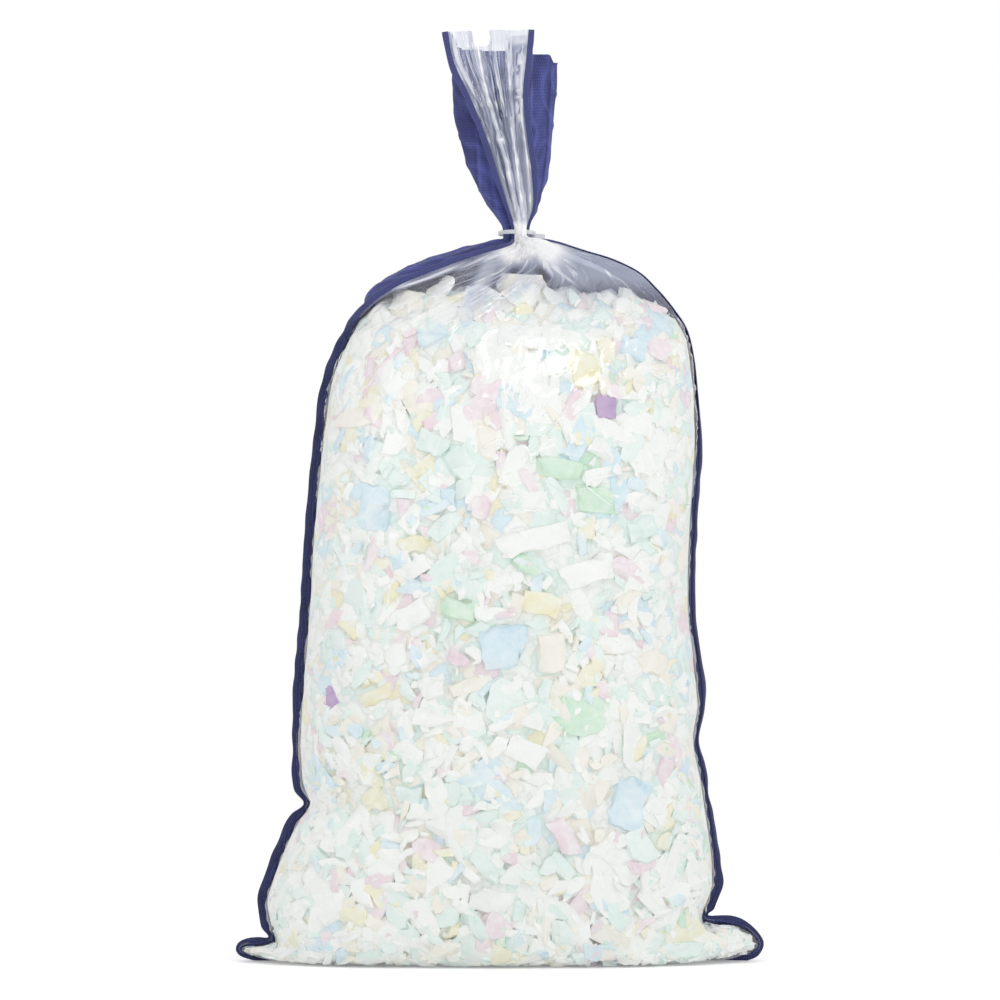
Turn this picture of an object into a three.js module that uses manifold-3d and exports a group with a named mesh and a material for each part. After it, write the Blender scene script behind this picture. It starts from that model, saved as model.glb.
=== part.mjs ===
// A pillow bag of shredded foam. A clear film front and a blue non-woven back are joined by a folded
// edge binding, filled with foam flakes and gathered at the neck by a plastic tie.
// Millimetres, Z up, front towards -Y, standing on Z = 0.
import * as THREE from "three";
import { ConvexGeometry } from "three/addons/geometries/ConvexGeometry.js";
import { mergeVertices } from "three/addons/utils/BufferGeometryUtils.js";
import Module from "manifold-3d";

const wasm = await Module();
wasm.setup();

// Sheets and seam
const FILM_THICKNESS = 0.4;
const FABRIC_THICKNESS = 0.5;
const TAPE_THICKNESS = 0.6;
const CLEARANCE = 0.3;
const FIN_WIDTH = 6;
const NARROW_FIN = 4;
const TAPE_MOUTH = 2;
const BOTTOM_SEAM_Z = 8;
const FLOOR_SNAP = 0.12;
const FILM_PLEATS = 3;
const FABRIC_PLEATS = 6;
const FILM_COLUMNS = FILM_PLEATS * 8;
const FABRIC_COLUMNS = FABRIC_PLEATS * 5;
const TAPE_BOTTOM_STEPS = 10;
const FIN_LEAN = 0.5;
const FULL_TUCK = 9;

// Seam lines in the plane of the bag, [x, z] from the bottom corner up to the shoulder, left and right
const LEFT_SEAM = [
  [-213, BOTTOM_SEAM_Z], [-220.5, 8.4], [-223, 11], [-220.5, 14], [-208, 15], [-195.5, 19],
  [-199, 32], [-202.5, 50], [-196.5, 73], [-186, 100], [-174, 124], [-164.5, 136],
  [-171, 150], [-174, 184], [-172, 224], [-166, 300], [-161, 380], [-154, 450],
  [-146, 503], [-131, 538],
];
const RIGHT_SEAM = [
  [213, BOTTOM_SEAM_Z], [220, 9.8], [222.5, 17], [214.5, 27], [198, 33.5], [177, 36],
  [178.5, 48], [185, 66], [184.5, 86], [181.5, 110], [178.5, 130], [176.5, 144],
  [174, 160], [168, 190], [172.5, 222], [164, 300], [165.5, 380], [170, 450],
  [167.5, 503], [162, 538],
];
const CREASED_ROWS = [1, 2, 3, 5, 11, 13];

// Middle line of the front and back, [z, half depth] for the same rows; the first rows lie on the floor
const MIDDLE = [
  [BOTTOM_SEAM_Z, 0], [0, 19], [0, 37], [0, 53], [1, 66], [6, 75],
  [17, 82], [37, 88], [66, 93], [97, 98], [122, 102], [138, 103.5],
  [154, 105], [186, 108], [223, 110], [300, 110], [380, 108], [450, 101],
  [503, 92], [538, 81],
];
const FLOOR_ROWS = 6;
const ROUND_Z = 220;
const BASE_FULLNESS = 0.58;
const BODY_FULLNESS = 0.82;

// Gathered part: height, outline left and right, half depth, pleat depth, seam tuck and fin, seam turns
const GATHER = [
  { z: 560, left: -120, right: 150, depth: 71, pleat: 3, tuck: 0, turnLeft: 20, turnRight: 0 },
  { z: 579, left: -112, right: 134, depth: 61, pleat: 5, tuck: 0, turnLeft: 39, turnRight: 0 },
  { z: 595, left: -94, right: 116, depth: 49, pleat: 7, tuck: 0, turnLeft: 56, turnRight: 2 },
  { z: 607, left: -67, right: 88, depth: 37, pleat: 8, tuck: 0, fin: 5, turnLeft: 70, turnRight: 8 },
  { z: 614, left: -47, right: 71, depth: 28, pleat: 8, tuck: 3, fin: 4, turnLeft: 78, turnRight: 14 },
  { z: 618.6, left: -33, right: 60, depth: 22, pleat: 7, tuck: 5, fin: 3.2, turnLeft: 80, turnRight: 16 },
  { z: 622.5, left: -15, right: 48, depth: 16.5, pleat: 6, tuck: 6, fin: 2.2, turnLeft: 73, turnRight: 16 },
  { z: 624.8, left: 0, right: 28.8, depth: 13.8, pleat: 6, tuck: 6, fin: 2.4, turnLeft: 76, turnRight: 16 },
  { z: 631, left: 0, right: 28.5, depth: 13.8, pleat: 6, tuck: 6, fin: 2.4, turnLeft: 76, turnRight: 18 },
  { z: 648, left: -13, right: 35, depth: 17, pleat: 7, tuck: 4, fin: 3.2, turnLeft: 80, turnRight: 34 },
  { z: 676, left: -29, right: 43, depth: 21, pleat: 7.5, tuck: 1, turnLeft: 78, turnRight: 48 },
  { z: 709, left: -38, right: 47.5, depth: 25, pleat: 7.5, tuck: 0, turnLeft: 69, turnRight: 60 },
  { z: 745, left: -41.5, right: 50, depth: 28, pleat: 7.5, tuck: 0, turnLeft: 52, turnRight: 65 },
  { z: 776, left: -44.5, right: 52, depth: 30, pleat: 7.5, tuck: 0, turnLeft: 31, turnRight: 66 },
  { z: 801, left: -46, right: 53, depth: 31, pleat: 7.5, tuck: 0, turnLeft: 18, turnRight: 66 },
];
const FLARE_Z = 645;
const FILM_TOP_DROP = 14;
const FILM_NOTCH = { place: 0.42, reach: 0.09 };
// How far the back panel's top edge drops below the top of the flare, [share, drop]
const FABRIC_DROP = [
  [0, 0], [0.03, 2], [0.06, 13], [0.42, 14], [0.44, 1], [0.53, 0], [0.55, 27], [0.84, 27],
  [0.852, 20], [0.94, 20], [0.952, 0], [1, 0],
];

// Neck tie: a strap with a locking head and a short tail
const TIE_X = 14.5;
const TIE_Z = 627.8;
const TIE_RADIUS = 14.9;
const TIE_WIDTH = 3.6;
const TIE_THICKNESS = 1.3;
const TIE_HEAD = { width: 6.2, depth: 4.4, height: 5.2, turn: 45 };
const TIE_TAIL = 18;

// Foam fill
const FILL_INSET = 2.6;
const FILL_FLOOR = 10;
const FILL_TOP = 584;
const CORE_TOP = 577;
const FILL_LEVELS = [
  FILL_FLOOR, 24, 48, 84, 118, 137, 156, 188, 222, 300, 380, 450, 503, 536, 558, 572, FILL_TOP,
];
const CORE_LEVELS = [FILL_FLOOR, 24, 84, 137, 188, 300, 450, 536, 565, CORE_TOP];
const CORE_INSET = 9;
const FILL_SIDES = 40;
const CORE_SIDES = 24;
const HEAP_STEP_X = 50;
const HEAP_STEP_Z = 43;
const HEAP_THICKNESS = 22;
const HEAP_SINK = 1.2;
const POCKET_GAP = 0.35;

// Larger and coloured flakes: [colour, x, z, width, height, turn in degrees] as they lie behind the film
const FLAKES = [
  ["purple", 90, 478, 18, 23, 6],
  ["purple", -146, 229, 17, 19, 40],
  ["green", 54, 424, 52, 16, -8],
  ["green", 82, 398, 36, 24, -3],
  ["green", -36, 306, 36, 16, -10],
  ["blue", 3, 274, 46, 40, 12],
  ["blue", -108, 392, 30, 40, -6],
  ["blue", 56, 571, 20, 19, 10],
  ["blue", 110, 140, 36, 46, -14],
  ["blue", 116, 528, 30, 20, -20],
  ["blue", -60, 540, 26, 18, 24],
  ["cream", 44, 268, 24, 38, 8],
  ["cream", 132, 261, 34, 24, 22],
  ["yellow", 36, 311, 38, 22, -12],
  ["yellow", -106, 232, 32, 15, 22],
  ["yellow", 72, 511, 26, 36, 14],
  ["yellow", -108, 143, 27, 20, 24],
  ["yellow", 142, 107, 19, 17, -16],
  ["yellow", -74, 360, 24, 18, 12],
  ["pink", -17, 392, 14, 22, 4],
  ["pink", -138, 425, 15, 13, 0],
  ["pink", 55, 112, 18, 38, 28],
  ["pink", -64, 102, 28, 18, -18],
  ["pink", 85, 570, 20, 16, -20],
  ["pink", -38, 514, 14, 20, 10],
  ["pink", 121, 57, 14, 18, -20],
  ["pink", -36, 264, 20, 13, -42],
  ["mint", -78, 149, 24, 18, -12],
  ["mint", 122, 374, 30, 22, 18],
  ["mint", -58, 446, 30, 20, -24],
  ["white", 24, 364, 88, 20, 14],
  ["white", 78, 339, 60, 22, 20],
  ["white", -58, 240, 25, 21, 10],
  ["white", -8, 58, 44, 26, -10],
  ["white", -76, 300, 34, 22, 30],
  ["white", 20, 186, 40, 22, -26],
];
const FLAKE_THICKNESS = 14;
const FLAKE_SINK = -1.5;

const SURFACES = {
  film: { color: 0xe9f0f2, roughness: 0.12, metalness: 0 },
  fabric: { color: 0x363f85, roughness: 0.85, metalness: 0 },
  tape: { color: 0x2b3472, roughness: 0.85, metalness: 0 },
  tie: { color: 0xeceff2, roughness: 0.3, metalness: 0 },
  white: { color: 0xf1f2ec, roughness: 0.95, metalness: 0 },
  mint: { color: 0xd8efe6, roughness: 0.95, metalness: 0 },
  blue: { color: 0xcfe6f4, roughness: 0.95, metalness: 0 },
  green: { color: 0xc3ecca, roughness: 0.95, metalness: 0 },
  yellow: { color: 0xf2edc4, roughness: 0.95, metalness: 0 },
  cream: { color: 0xf3efdf, roughness: 0.95, metalness: 0 },
  pink: { color: 0xefd9e2, roughness: 0.95, metalness: 0 },
  purple: { color: 0xbb9bcb, roughness: 0.95, metalness: 0 },
};

const radians = THREE.MathUtils.degToRad;

// Repeatable spread of values between 0 and 1
let spreadState = 7;
function spread() {
  spreadState = (spreadState * 16807) % 2147483647;
  return spreadState / 2147483647;
}

function bodyRow(index) {
  const [left, leftZ] = LEFT_SEAM[index];
  const [right, rightZ] = RIGHT_SEAM[index];
  const [middleZ, depth] = MIDDLE[index];
  const onFloor = index < FLOOR_ROWS;
  const rise = Math.min(middleZ / ROUND_Z, 1);
  const fullness = THREE.MathUtils.lerp(BASE_FULLNESS, BODY_FULLNESS, rise);
  const lift = onFloor ? 9 : 3;
  const flat = { pleat: 0, tuck: 0, sag: 0, turnLeft: 0, turnRight: 0 };
  return { left, leftZ, right, rightZ, middleZ, depth, fullness, lift, ...flat };
}

function gatherRow(station) {
  const sag = station.z < TIE_Z ? 0.5 : 0;
  const level = { leftZ: station.z, rightZ: station.z, middleZ: station.z, lift: 1 };
  return { ...station, ...level, fullness: 1, sag };
}

const ROWS = [...MIDDLE.map((_, index) => bodyRow(index)), ...GATHER.map(gatherRow)];

// Point of a sheet at s = 0 (left seam) to 1 (right seam), before it is thickened
function sheetPoint(row, s, sheet) {
  const start = sheet.front ? row.turnLeft - 180 : row.turnLeft + 180;
  const angle = radians(THREE.MathUtils.lerp(start, -row.turnRight, s));
  const across = Math.cos(angle);
  const along = Math.sin(angle);
  const centre = (row.left + row.right) / 2;
  const half = (row.right - row.left) / 2;
  const side = Math.abs(across) ** row.lift;
  const sideZ = across < 0 ? row.leftZ : row.rightZ;
  const middleZ = Math.max(row.middleZ, sheet.thickness / 2);
  const point = new THREE.Vector3(
    centre + half * across,
    row.depth * Math.sign(along) * Math.abs(along) ** row.fullness,
    THREE.MathUtils.lerp(middleZ, sideZ, side),
  );
  const wave = (row.pleat * (1 - Math.cos(2 * Math.PI * sheet.pleats * s))) / 2;
  const fromSeam = Math.min(s, 1 - s) * sheet.pleats;
  const fold = Math.max(wave, row.tuck * (1 - THREE.MathUtils.smoothstep(fromSeam, 0.6, 1)));
  const inward = new THREE.Vector3(centre - point.x, -point.y, 0);
  if (fold > 0) point.addScaledVector(inward.normalize(), fold);
  point.z -= fold * row.sag;
  const flare = Math.max(0, point.z - FLARE_Z) / (ROWS.at(-1).middleZ - FLARE_Z);
  point.z -= flare * sheet.topDrop(s);
  return point;
}

const FILM = {
  front: true,
  thickness: FILM_THICKNESS,
  pleats: FILM_PLEATS,
  columns: FILM_COLUMNS,
  topDrop: (s) => FILM_TOP_DROP * Math.exp(-(((s - FILM_NOTCH.place) / FILM_NOTCH.reach) ** 4)),
};
const FABRIC = {
  front: false,
  thickness: FABRIC_THICKNESS,
  pleats: FABRIC_PLEATS,
  columns: FABRIC_COLUMNS,
  topDrop: (s) => {
    const next = Math.max(1, FABRIC_DROP.findIndex(([share]) => share >= s));
    const [[from, low], [to, high]] = [FABRIC_DROP[next - 1], FABRIC_DROP[next]];
    return THREE.MathUtils.mapLinear(s, from, to, low, high);
  },
};

// Seam frames: root, direction of the fin and the direction from the film to the back panel
function sideFrame(rowIndex, isLeft) {
  const rootAt = (index) => sheetPoint(ROWS[index], isLeft ? 0 : 1, FILM);
  const root = rootAt(rowIndex);
  const before = rowIndex > 0 ? rootAt(rowIndex - 1) : root.clone().setX(isLeft ? -190 : 190);
  const after = rowIndex < ROWS.length - 1 ? rootAt(rowIndex + 1) : root;
  const run = after.clone().sub(before).normalize();
  const outward = new THREE.Vector3(isLeft ? -run.z : run.z, 0, isLeft ? run.x : -run.x);
  const { turnLeft, turnRight, tuck, fin } = ROWS[rowIndex];
  const lean = FIN_LEAN + (1 - FIN_LEAN) * Math.min(1, tuck / FULL_TUCK);
  const turn = lean * (isLeft ? turnLeft : -turnRight);
  outward.applyAxisAngle(new THREE.Vector3(0, 0, 1), radians(turn));
  outward.addScaledVector(run, -outward.dot(run)).normalize();
  const back = isLeft ? outward.clone().cross(run) : run.clone().cross(outward);
  const plainWidth = CREASED_ROWS.includes(rowIndex) ? NARROW_FIN : FIN_WIDTH;
  return { root, outward, back, width: fin ?? plainWidth };
}

function bottomFrame(fraction) {
  const angle = Math.PI * (1 - fraction);
  const half = RIGHT_SEAM[0][0];
  const root = new THREE.Vector3(half * Math.cos(angle), 0, BOTTOM_SEAM_Z);
  const outward = new THREE.Vector3(0, 0, -1);
  return { root, outward, back: new THREE.Vector3(0, 1, 0), width: FIN_WIDTH };
}

const rowIndices = ROWS.map((_, index) => index);
const leftFrames = rowIndices.map((index) => sideFrame(index, true));
const rightFrames = rowIndices.map((index) => sideFrame(index, false));

function seamChain(bottomSteps) {
  const bottom = [];
  for (let step = 1; step < bottomSteps; step += 1) bottom.push(bottomFrame(step / bottomSteps));
  return [...leftFrames.toReversed(), ...bottom, ...rightFrames];
}

function meshGeometry(points, triangles) {
  const geometry = new THREE.BufferGeometry();
  const values = points.flatMap((point) => [point.x, point.y, point.z]);
  geometry.setAttribute("position", new THREE.Float32BufferAttribute(values, 3));
  geometry.setIndex(triangles.flat());
  return geometry;
}

// Closed thin solid from a net of four-sided faces
function thicken(points, faces, thickness) {
  const normals = points.map(() => new THREE.Vector3());
  const edges = new Map();
  for (const face of faces) {
    const [a, b, c, d] = face.map((index) => points[index]);
    const normal = c.clone().sub(a).cross(d.clone().sub(b)).normalize();
    face.forEach((index, corner) => {
      normals[index].add(normal);
      edges.set(`${index},${face[(corner + 1) % 4]}`, [index, face[(corner + 1) % 4]]);
    });
  }
  const shifted = (way) => points.map((point, index) => {
    const moved = point.clone().addScaledVector(normals[index].normalize(), (way * thickness) / 2);
    if (moved.z < FLOOR_SNAP) moved.z = 0;
    return moved;
  });
  const count = points.length;
  const triangles = [];
  for (const [a, b, c, d] of faces) {
    triangles.push([a, b, c], [a, c, d]);
    triangles.push([count + a, count + c, count + b], [count + a, count + d, count + c]);
  }
  for (const [key, [from, to]] of edges) {
    const opposite = key.split(",").reverse().join(",");
    if (edges.has(opposite)) continue;
    triangles.push([from, count + from, count + to], [from, count + to, to]);
  }
  return meshGeometry([...shifted(1), ...shifted(-1)], triangles);
}

// A sheet: its net between the seams and the fin all round that the binding holds
function sheetGeometry(sheet) {
  const { columns, thickness } = sheet;
  const wide = columns + 1;
  const points = [];
  const faces = [];
  for (const row of ROWS) {
    for (let column = 0; column <= columns; column += 1) {
      points.push(sheetPoint(row, column / columns, sheet));
    }
  }
  for (let row = 0; row + 1 < ROWS.length; row += 1) {
    for (let column = 0; column < columns; column += 1) {
      const corner = row * wide + column;
      faces.push([corner, corner + 1, corner + wide + 1, corner + wide]);
    }
  }
  const leftEdge = rowIndices.map((row) => row * wide).toReversed();
  const bottomEdge = Array.from({ length: columns - 1 }, (_, column) => column + 1);
  const rightEdge = rowIndices.map((row) => row * wide + columns);
  const edge = [...leftEdge, ...bottomEdge, ...rightEdge];
  const shift = (sheet.front ? -1 : 1) * (CLEARANCE / 2 + thickness / 2);
  const firstFin = points.length;
  seamChain(columns).forEach((frame, index) => {
    const root = frame.root.clone().addScaledVector(frame.back, shift);
    points[edge[index]] = root;
    points.push(root.clone().addScaledVector(frame.outward, frame.width));
  });
  for (let index = 0; index + 1 < edge.length; index += 1) {
    faces.push([firstFin + index + 1, edge[index + 1], edge[index], firstFin + index]);
  }
  return thicken(points, faces, thickness);
}

// The binding: one tape folded over both sheets' fins, open towards the bag
function bindingGeometry() {
  const inner = CLEARANCE / 2 + FABRIC_THICKNESS + CLEARANCE;
  const outer = inner + TAPE_THICKNESS;
  const section = (width) => {
    const deep = width + CLEARANCE;
    const end = deep + TAPE_THICKNESS;
    const mouth = Math.min(TAPE_MOUTH, width / 2);
    return [
      [mouth, -outer], [end, -outer], [end, outer], [mouth, outer],
      [mouth, inner], [deep, inner], [deep, -inner], [mouth, -inner],
    ];
  };
  const chain = seamChain(TAPE_BOTTOM_STEPS);
  const points = [];
  const triangles = [];
  for (const { root, outward, back, width } of chain) {
    for (const [out, over] of section(width)) {
      points.push(root.clone().addScaledVector(outward, out).addScaledVector(back, over));
    }
  }
  for (let step = 0; step + 1 < chain.length; step += 1) {
    for (let corner = 0; corner < 8; corner += 1) {
      const next = (corner + 1) % 8;
      const [a, b] = [step * 8 + corner, step * 8 + next];
      triangles.push([a, b + 8, a + 8], [a, b, b + 8]);
    }
  }
  const outline = section(FIN_WIDTH).map(([out, over]) => new THREE.Vector2(out, over));
  const last = (chain.length - 1) * 8;
  for (const [a, b, c] of THREE.ShapeUtils.triangulateShape(outline, [])) {
    triangles.push([a, c, b], [last + a, last + b, last + c]);
  }
  return meshGeometry(points, triangles);
}

function toSolid(geometry) {
  const plain = geometry.clone();
  plain.deleteAttribute("normal");
  plain.deleteAttribute("uv");
  const merged = mergeVertices(plain, 1e-4);
  const vertProperties = Float32Array.from(merged.attributes.position.array);
  const triVerts = Uint32Array.from(merged.index.array);
  return new wasm.Manifold(new wasm.Mesh({ numProp: 3, vertProperties, triVerts }));
}

function toGeometry(solid) {
  const { vertProperties, triVerts } = solid.getMesh();
  const geometry = new THREE.BufferGeometry();
  geometry.setAttribute("position", new THREE.BufferAttribute(Float32Array.from(vertProperties), 3));
  geometry.setIndex(new THREE.BufferAttribute(Uint32Array.from(triVerts), 1));
  return geometry;
}

// Outline of the fill at a height, read from the rows of the bag
function fillOutline(z, inset) {
  const between = (height, value) => {
    const upper = ROWS.findIndex((row, index) => index >= FLOOR_ROWS && row[height] >= z);
    const high = ROWS[upper];
    const low = ROWS[upper - 1];
    const share = THREE.MathUtils.clamp((z - low[height]) / (high[height] - low[height]), 0, 1);
    return THREE.MathUtils.lerp(low[value], high[value], share);
  };
  const left = between("leftZ", "left") + inset * 1.6;
  const right = between("rightZ", "right") - inset * 1.6;
  const depth = between("middleZ", "depth") - inset;
  return { centre: (left + right) / 2, half: (right - left) / 2, depth };
}

function fillGeometry(inset, top, levels, sides) {
  const floor = levels[0];
  const points = [];
  const triangles = [];
  levels.forEach((z, level) => {
    const low = Math.max(0, 1 - (z - floor) / 60);
    const dome = THREE.MathUtils.clamp((z - 536) / (top - 536), 0, 1);
    const { centre, half, depth } = fillOutline(Math.max(z, 20), inset + 9 * low + 15 * dome ** 3);
    const shrink = 1 - 0.35 * dome ** 2;
    for (let side = 0; side < sides; side += 1) {
      const angle = (2 * Math.PI * side) / sides;
      const along = Math.sin(angle);
      const y = depth * shrink * Math.sign(along) * Math.abs(along) ** 0.86;
      points.push(new THREE.Vector3(centre + half * shrink * Math.cos(angle), y, z));
      const next = (side + 1) % sides;
      if (level === 0) continue;
      const [a, b] = [(level - 1) * sides + side, (level - 1) * sides + next];
      triangles.push([a, b, b + sides], [a, b + sides, a + sides]);
    }
  });
  const last = (levels.length - 1) * sides;
  for (let side = 1; side + 1 < sides; side += 1) {
    triangles.push([0, side + 1, side], [last, last + side, last + side + 1]);
  }
  return meshGeometry(points, triangles);
}

// Front of the fill behind the film at x, z
function frontOfFill(x, z) {
  const { centre, half, depth } = fillOutline(z, FILL_INSET);
  const across = THREE.MathUtils.clamp((x - centre) / half, -0.97, 0.97);
  return new THREE.Vector3(x, -depth * (1 - across ** 2) ** 0.43, z);
}

// Frame lying on the front of the fill: X across, Y inwards, Z up the bag
function frontFrame(x, z) {
  const across = frontOfFill(x + 6, z).sub(frontOfFill(x - 6, z)).normalize();
  const up = frontOfFill(x, z + 8).sub(frontOfFill(x, z - 8));
  const inwards = up.cross(across).normalize();
  return new THREE.Matrix4().makeBasis(across, inwards, across.clone().cross(inwards));
}

// An irregular torn block, placed behind the film with its outer face sunk below the front of the fill
function flakeGeometry(x, z, width, height, thickness, turn, sink, grow) {
  const corners = [];
  for (const sx of [-1, 1]) {
    for (const sy of [-1, 1]) {
      for (const sz of [-1, 1]) {
        const uneven = () => 0.76 + 0.24 * spread();
        corners.push(new THREE.Vector3(
          (sx * width * uneven()) / 2 + sx * grow,
          (sy * thickness * (sy < 0 ? 1 : uneven())) / 2 + sy * grow,
          (sz * height * uneven()) / 2 + sz * grow,
        ));
      }
    }
  }
  const place = frontFrame(x, z).setPosition(frontOfFill(x, z));
  const geometry = new ConvexGeometry(corners);
  return geometry.translate(0, thickness / 2 + sink, 0).rotateY(radians(-turn)).applyMatrix4(place);
}

function tieGeometry() {
  const inner = TIE_RADIUS;
  const outer = TIE_RADIUS + TIE_THICKNESS;
  const high = TIE_WIDTH / 2;
  const profile = [[inner, -high], [outer, -high], [outer, high], [inner, high], [inner, -high]];
  const strap = new THREE.LatheGeometry(profile.map(([r, z]) => new THREE.Vector2(r, z)), 40);
  strap.rotateX(Math.PI / 2);
  const head = new THREE.BoxGeometry(TIE_HEAD.depth, TIE_HEAD.width, TIE_HEAD.height);
  head.translate(inner + 0.2 + TIE_HEAD.depth / 2, 0, 0);
  const tail = new THREE.BoxGeometry(TIE_TAIL, TIE_THICKNESS, TIE_WIDTH);
  tail.translate(inner + TIE_HEAD.depth + TIE_TAIL / 2 - 2, 1.2, 0);
  const solid = toSolid(strap).add(toSolid(head)).add(toSolid(tail));
  return toGeometry(solid);
}

function named(name, geometry, surface) {
  const mesh = new THREE.Mesh(geometry, new THREE.MeshStandardMaterial(SURFACES[surface]));
  mesh.name = name;
  return mesh;
}

const bag = new THREE.Group();
bag.name = "foam_flake_bag";
bag.add(named("front_film", sheetGeometry(FILM), "film"));
bag.add(named("back_panel", sheetGeometry(FABRIC), "fabric"));
bag.add(named("edge_binding", bindingGeometry(), "tape"));

const tie = named("neck_tie", tieGeometry(), "tie");
tie.position.set(TIE_X, 0, TIE_Z);
tie.rotation.z = radians(TIE_HEAD.turn);
bag.add(tie);

// The heap: packed flakes fused to the body of the fill, with pockets for the flakes that are pieces
const fill = toSolid(fillGeometry(FILL_INSET, FILL_TOP, FILL_LEVELS, FILL_SIDES));
let heap = toSolid(fillGeometry(CORE_INSET, CORE_TOP, CORE_LEVELS, CORE_SIDES));
for (let z = 26; z < 566; z += HEAP_STEP_Z) {
  const { centre, half } = fillOutline(z, FILL_INSET);
  for (let x = centre - half * 0.9; x < centre + half * 0.92; x += HEAP_STEP_X) {
    const reach = half * 0.93;
    const placeX = THREE.MathUtils.clamp(x + (spread() - 0.5) * 10, centre - reach, centre + reach);
    const placeZ = z + (spread() - 0.5) * 10;
    const width = 30 + 17 * spread();
    const height = 22 + 14 * spread();
    const turn = (spread() - 0.5) * 90;
    const sink = HEAP_SINK * (1 + spread());
    const block = flakeGeometry(placeX, placeZ, width, height, HEAP_THICKNESS, turn, sink, 0);
    heap = heap.add(toSolid(block));
  }
}
heap = heap.intersect(fill);

const taken = {};
for (const [colour, x, z, width, height, turn] of FLAKES) {
  const seed = spreadState;
  const block = flakeGeometry(x, z, width, height, FLAKE_THICKNESS, turn, FLAKE_SINK, 0);
  spreadState = seed;
  const pocket = flakeGeometry(x, z, width, height, FLAKE_THICKNESS, turn, FLAKE_SINK, POCKET_GAP);
  heap = heap.subtract(toSolid(pocket));
  taken[colour] = (taken[colour] ?? 0) + 1;
  const geometry = toGeometry(toSolid(block).intersect(fill));
  bag.add(named(`flake_${colour}_${taken[colour]}`, geometry, colour));
}
// Crumbs that the pockets cut loose are left out
const [body] = heap.decompose().toSorted((one, other) => other.volume() - one.volume());
bag.add(named("flake_heap", toGeometry(body), "white"));

export default bag;
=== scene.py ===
import math

import bpy
import numpy as np
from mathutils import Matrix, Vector
from mathutils.bvhtree import BVHTree


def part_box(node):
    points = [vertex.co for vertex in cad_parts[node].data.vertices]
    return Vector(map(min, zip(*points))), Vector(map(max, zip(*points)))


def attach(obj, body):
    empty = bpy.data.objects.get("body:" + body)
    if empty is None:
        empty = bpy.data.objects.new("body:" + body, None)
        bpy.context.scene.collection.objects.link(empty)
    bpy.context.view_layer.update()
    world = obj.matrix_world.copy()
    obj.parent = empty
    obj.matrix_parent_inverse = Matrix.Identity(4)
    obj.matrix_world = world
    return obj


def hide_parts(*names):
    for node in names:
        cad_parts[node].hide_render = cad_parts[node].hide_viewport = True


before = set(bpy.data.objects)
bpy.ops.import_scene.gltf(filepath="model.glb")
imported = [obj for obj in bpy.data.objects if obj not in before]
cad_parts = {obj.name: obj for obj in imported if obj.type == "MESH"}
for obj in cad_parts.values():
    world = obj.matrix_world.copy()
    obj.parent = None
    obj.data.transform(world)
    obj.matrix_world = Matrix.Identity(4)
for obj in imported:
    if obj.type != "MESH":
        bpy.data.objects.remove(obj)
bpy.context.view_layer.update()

bl_info = {
    "name": "Foam flake bag",
    "version": (1, 0, 0),
    "blender": (4, 5, 0),
    "location": "3D View > Sidebar > Foam Bag",
    "description": "Dresses the packed solids of a tied bag of foam flakes",
    "category": "Object",
}

MM = 0.001

# Seam lines in the plane of the bag, (x, z) in millimetres from the bottom corner to the shoulder
LEFT_SEAM = (
    (-213, 8), (-220.5, 8.4), (-223, 11), (-220.5, 14), (-208, 15), (-195.5, 19), (-199, 32),
    (-202.5, 50), (-196.5, 73), (-186, 100), (-174, 124), (-164.5, 136), (-171, 150), (-174, 184),
    (-172, 224), (-166, 300), (-161, 380), (-154, 450), (-146, 503), (-131, 538),
)
RIGHT_SEAM = (
    (213, 8), (220, 9.8), (222.5, 17), (214.5, 27), (198, 33.5), (177, 36), (178.5, 48), (185, 66),
    (184.5, 86), (181.5, 110), (178.5, 130), (176.5, 144), (174, 160), (168, 190), (172.5, 222),
    (164, 300), (165.5, 380), (170, 450), (167.5, 503), (162, 538),
)
# Middle of the front and back for the same sections, (z, half depth)
MIDDLE = (
    (8, 0), (0, 19), (0, 37), (0, 53), (1, 66), (6, 75), (17, 82), (37, 88), (66, 93), (97, 98),
    (122, 102), (138, 103.5), (154, 105), (186, 108), (223, 110), (300, 110), (380, 108), (450, 101),
    (503, 92), (538, 81),
)
# Gathered sections: z, left, right, half depth, pleat, seam tuck, fin, turn of the left and right seam
GATHER = (
    (560, -122.5, 150, 71, 3, 0, 6, 20, 0), (579, -115, 134, 61, 5, 0, 6, 39, 0),
    (595, -94.5, 116, 49, 7, 0, 6, 56, 2), (607, -65, 88, 37, 8, 0, 5, 70, 8),
    (614, -43.5, 71, 28, 8, 3, 4, 78, 14), (618.6, -29, 60, 22, 7, 5, 3.2, 80, 16),
    (622.5, -13, 48, 16.5, 6, 6, 2.2, 73, 16), (624.8, 0, 28.8, 13.8, 6, 6, 2.4, 76, 16),
    (631, 0, 28.5, 13.8, 6, 6, 2.4, 76, 18), (648, -13, 35, 17, 7, 4, 3.2, 80, 36),
    (676, -29, 43, 21, 7.5, 1, 6, 78, 56), (709, -38, 47.5, 25, 7.5, 0, 6, 69, 66),
    (745, -42.5, 50, 28, 7.5, 0, 6, 52, 71), (776, -45.5, 52, 30, 7.5, 0, 6, 31, 68),
    (801, -45.5, 53, 31, 7.5, 0, 6, 18, 66),
)
# Sections that lie on the floor, and those with a tight crease in a seam
FLOOR_ROWS, CREASED_ROWS = 6, (1, 2, 3, 5, 11, 13)
# How far the strip outside a seam reaches, in plain and in creased sections
FIN_WIDTH, NARROW_FIN = 6, 4
# How round a section is at the bottom, and from a height up
ROUND_Z, BASE_FULLNESS, BODY_FULLNESS = 220, 0.58, 0.82
FILM_PLEATS, FABRIC_PLEATS = 3, 6
# Start and top of the flare, and the drop in the middle of the film's top edge
FLARE_Z, TOP_Z, FILM_TOP_DROP = 645, 801, 14
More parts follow.
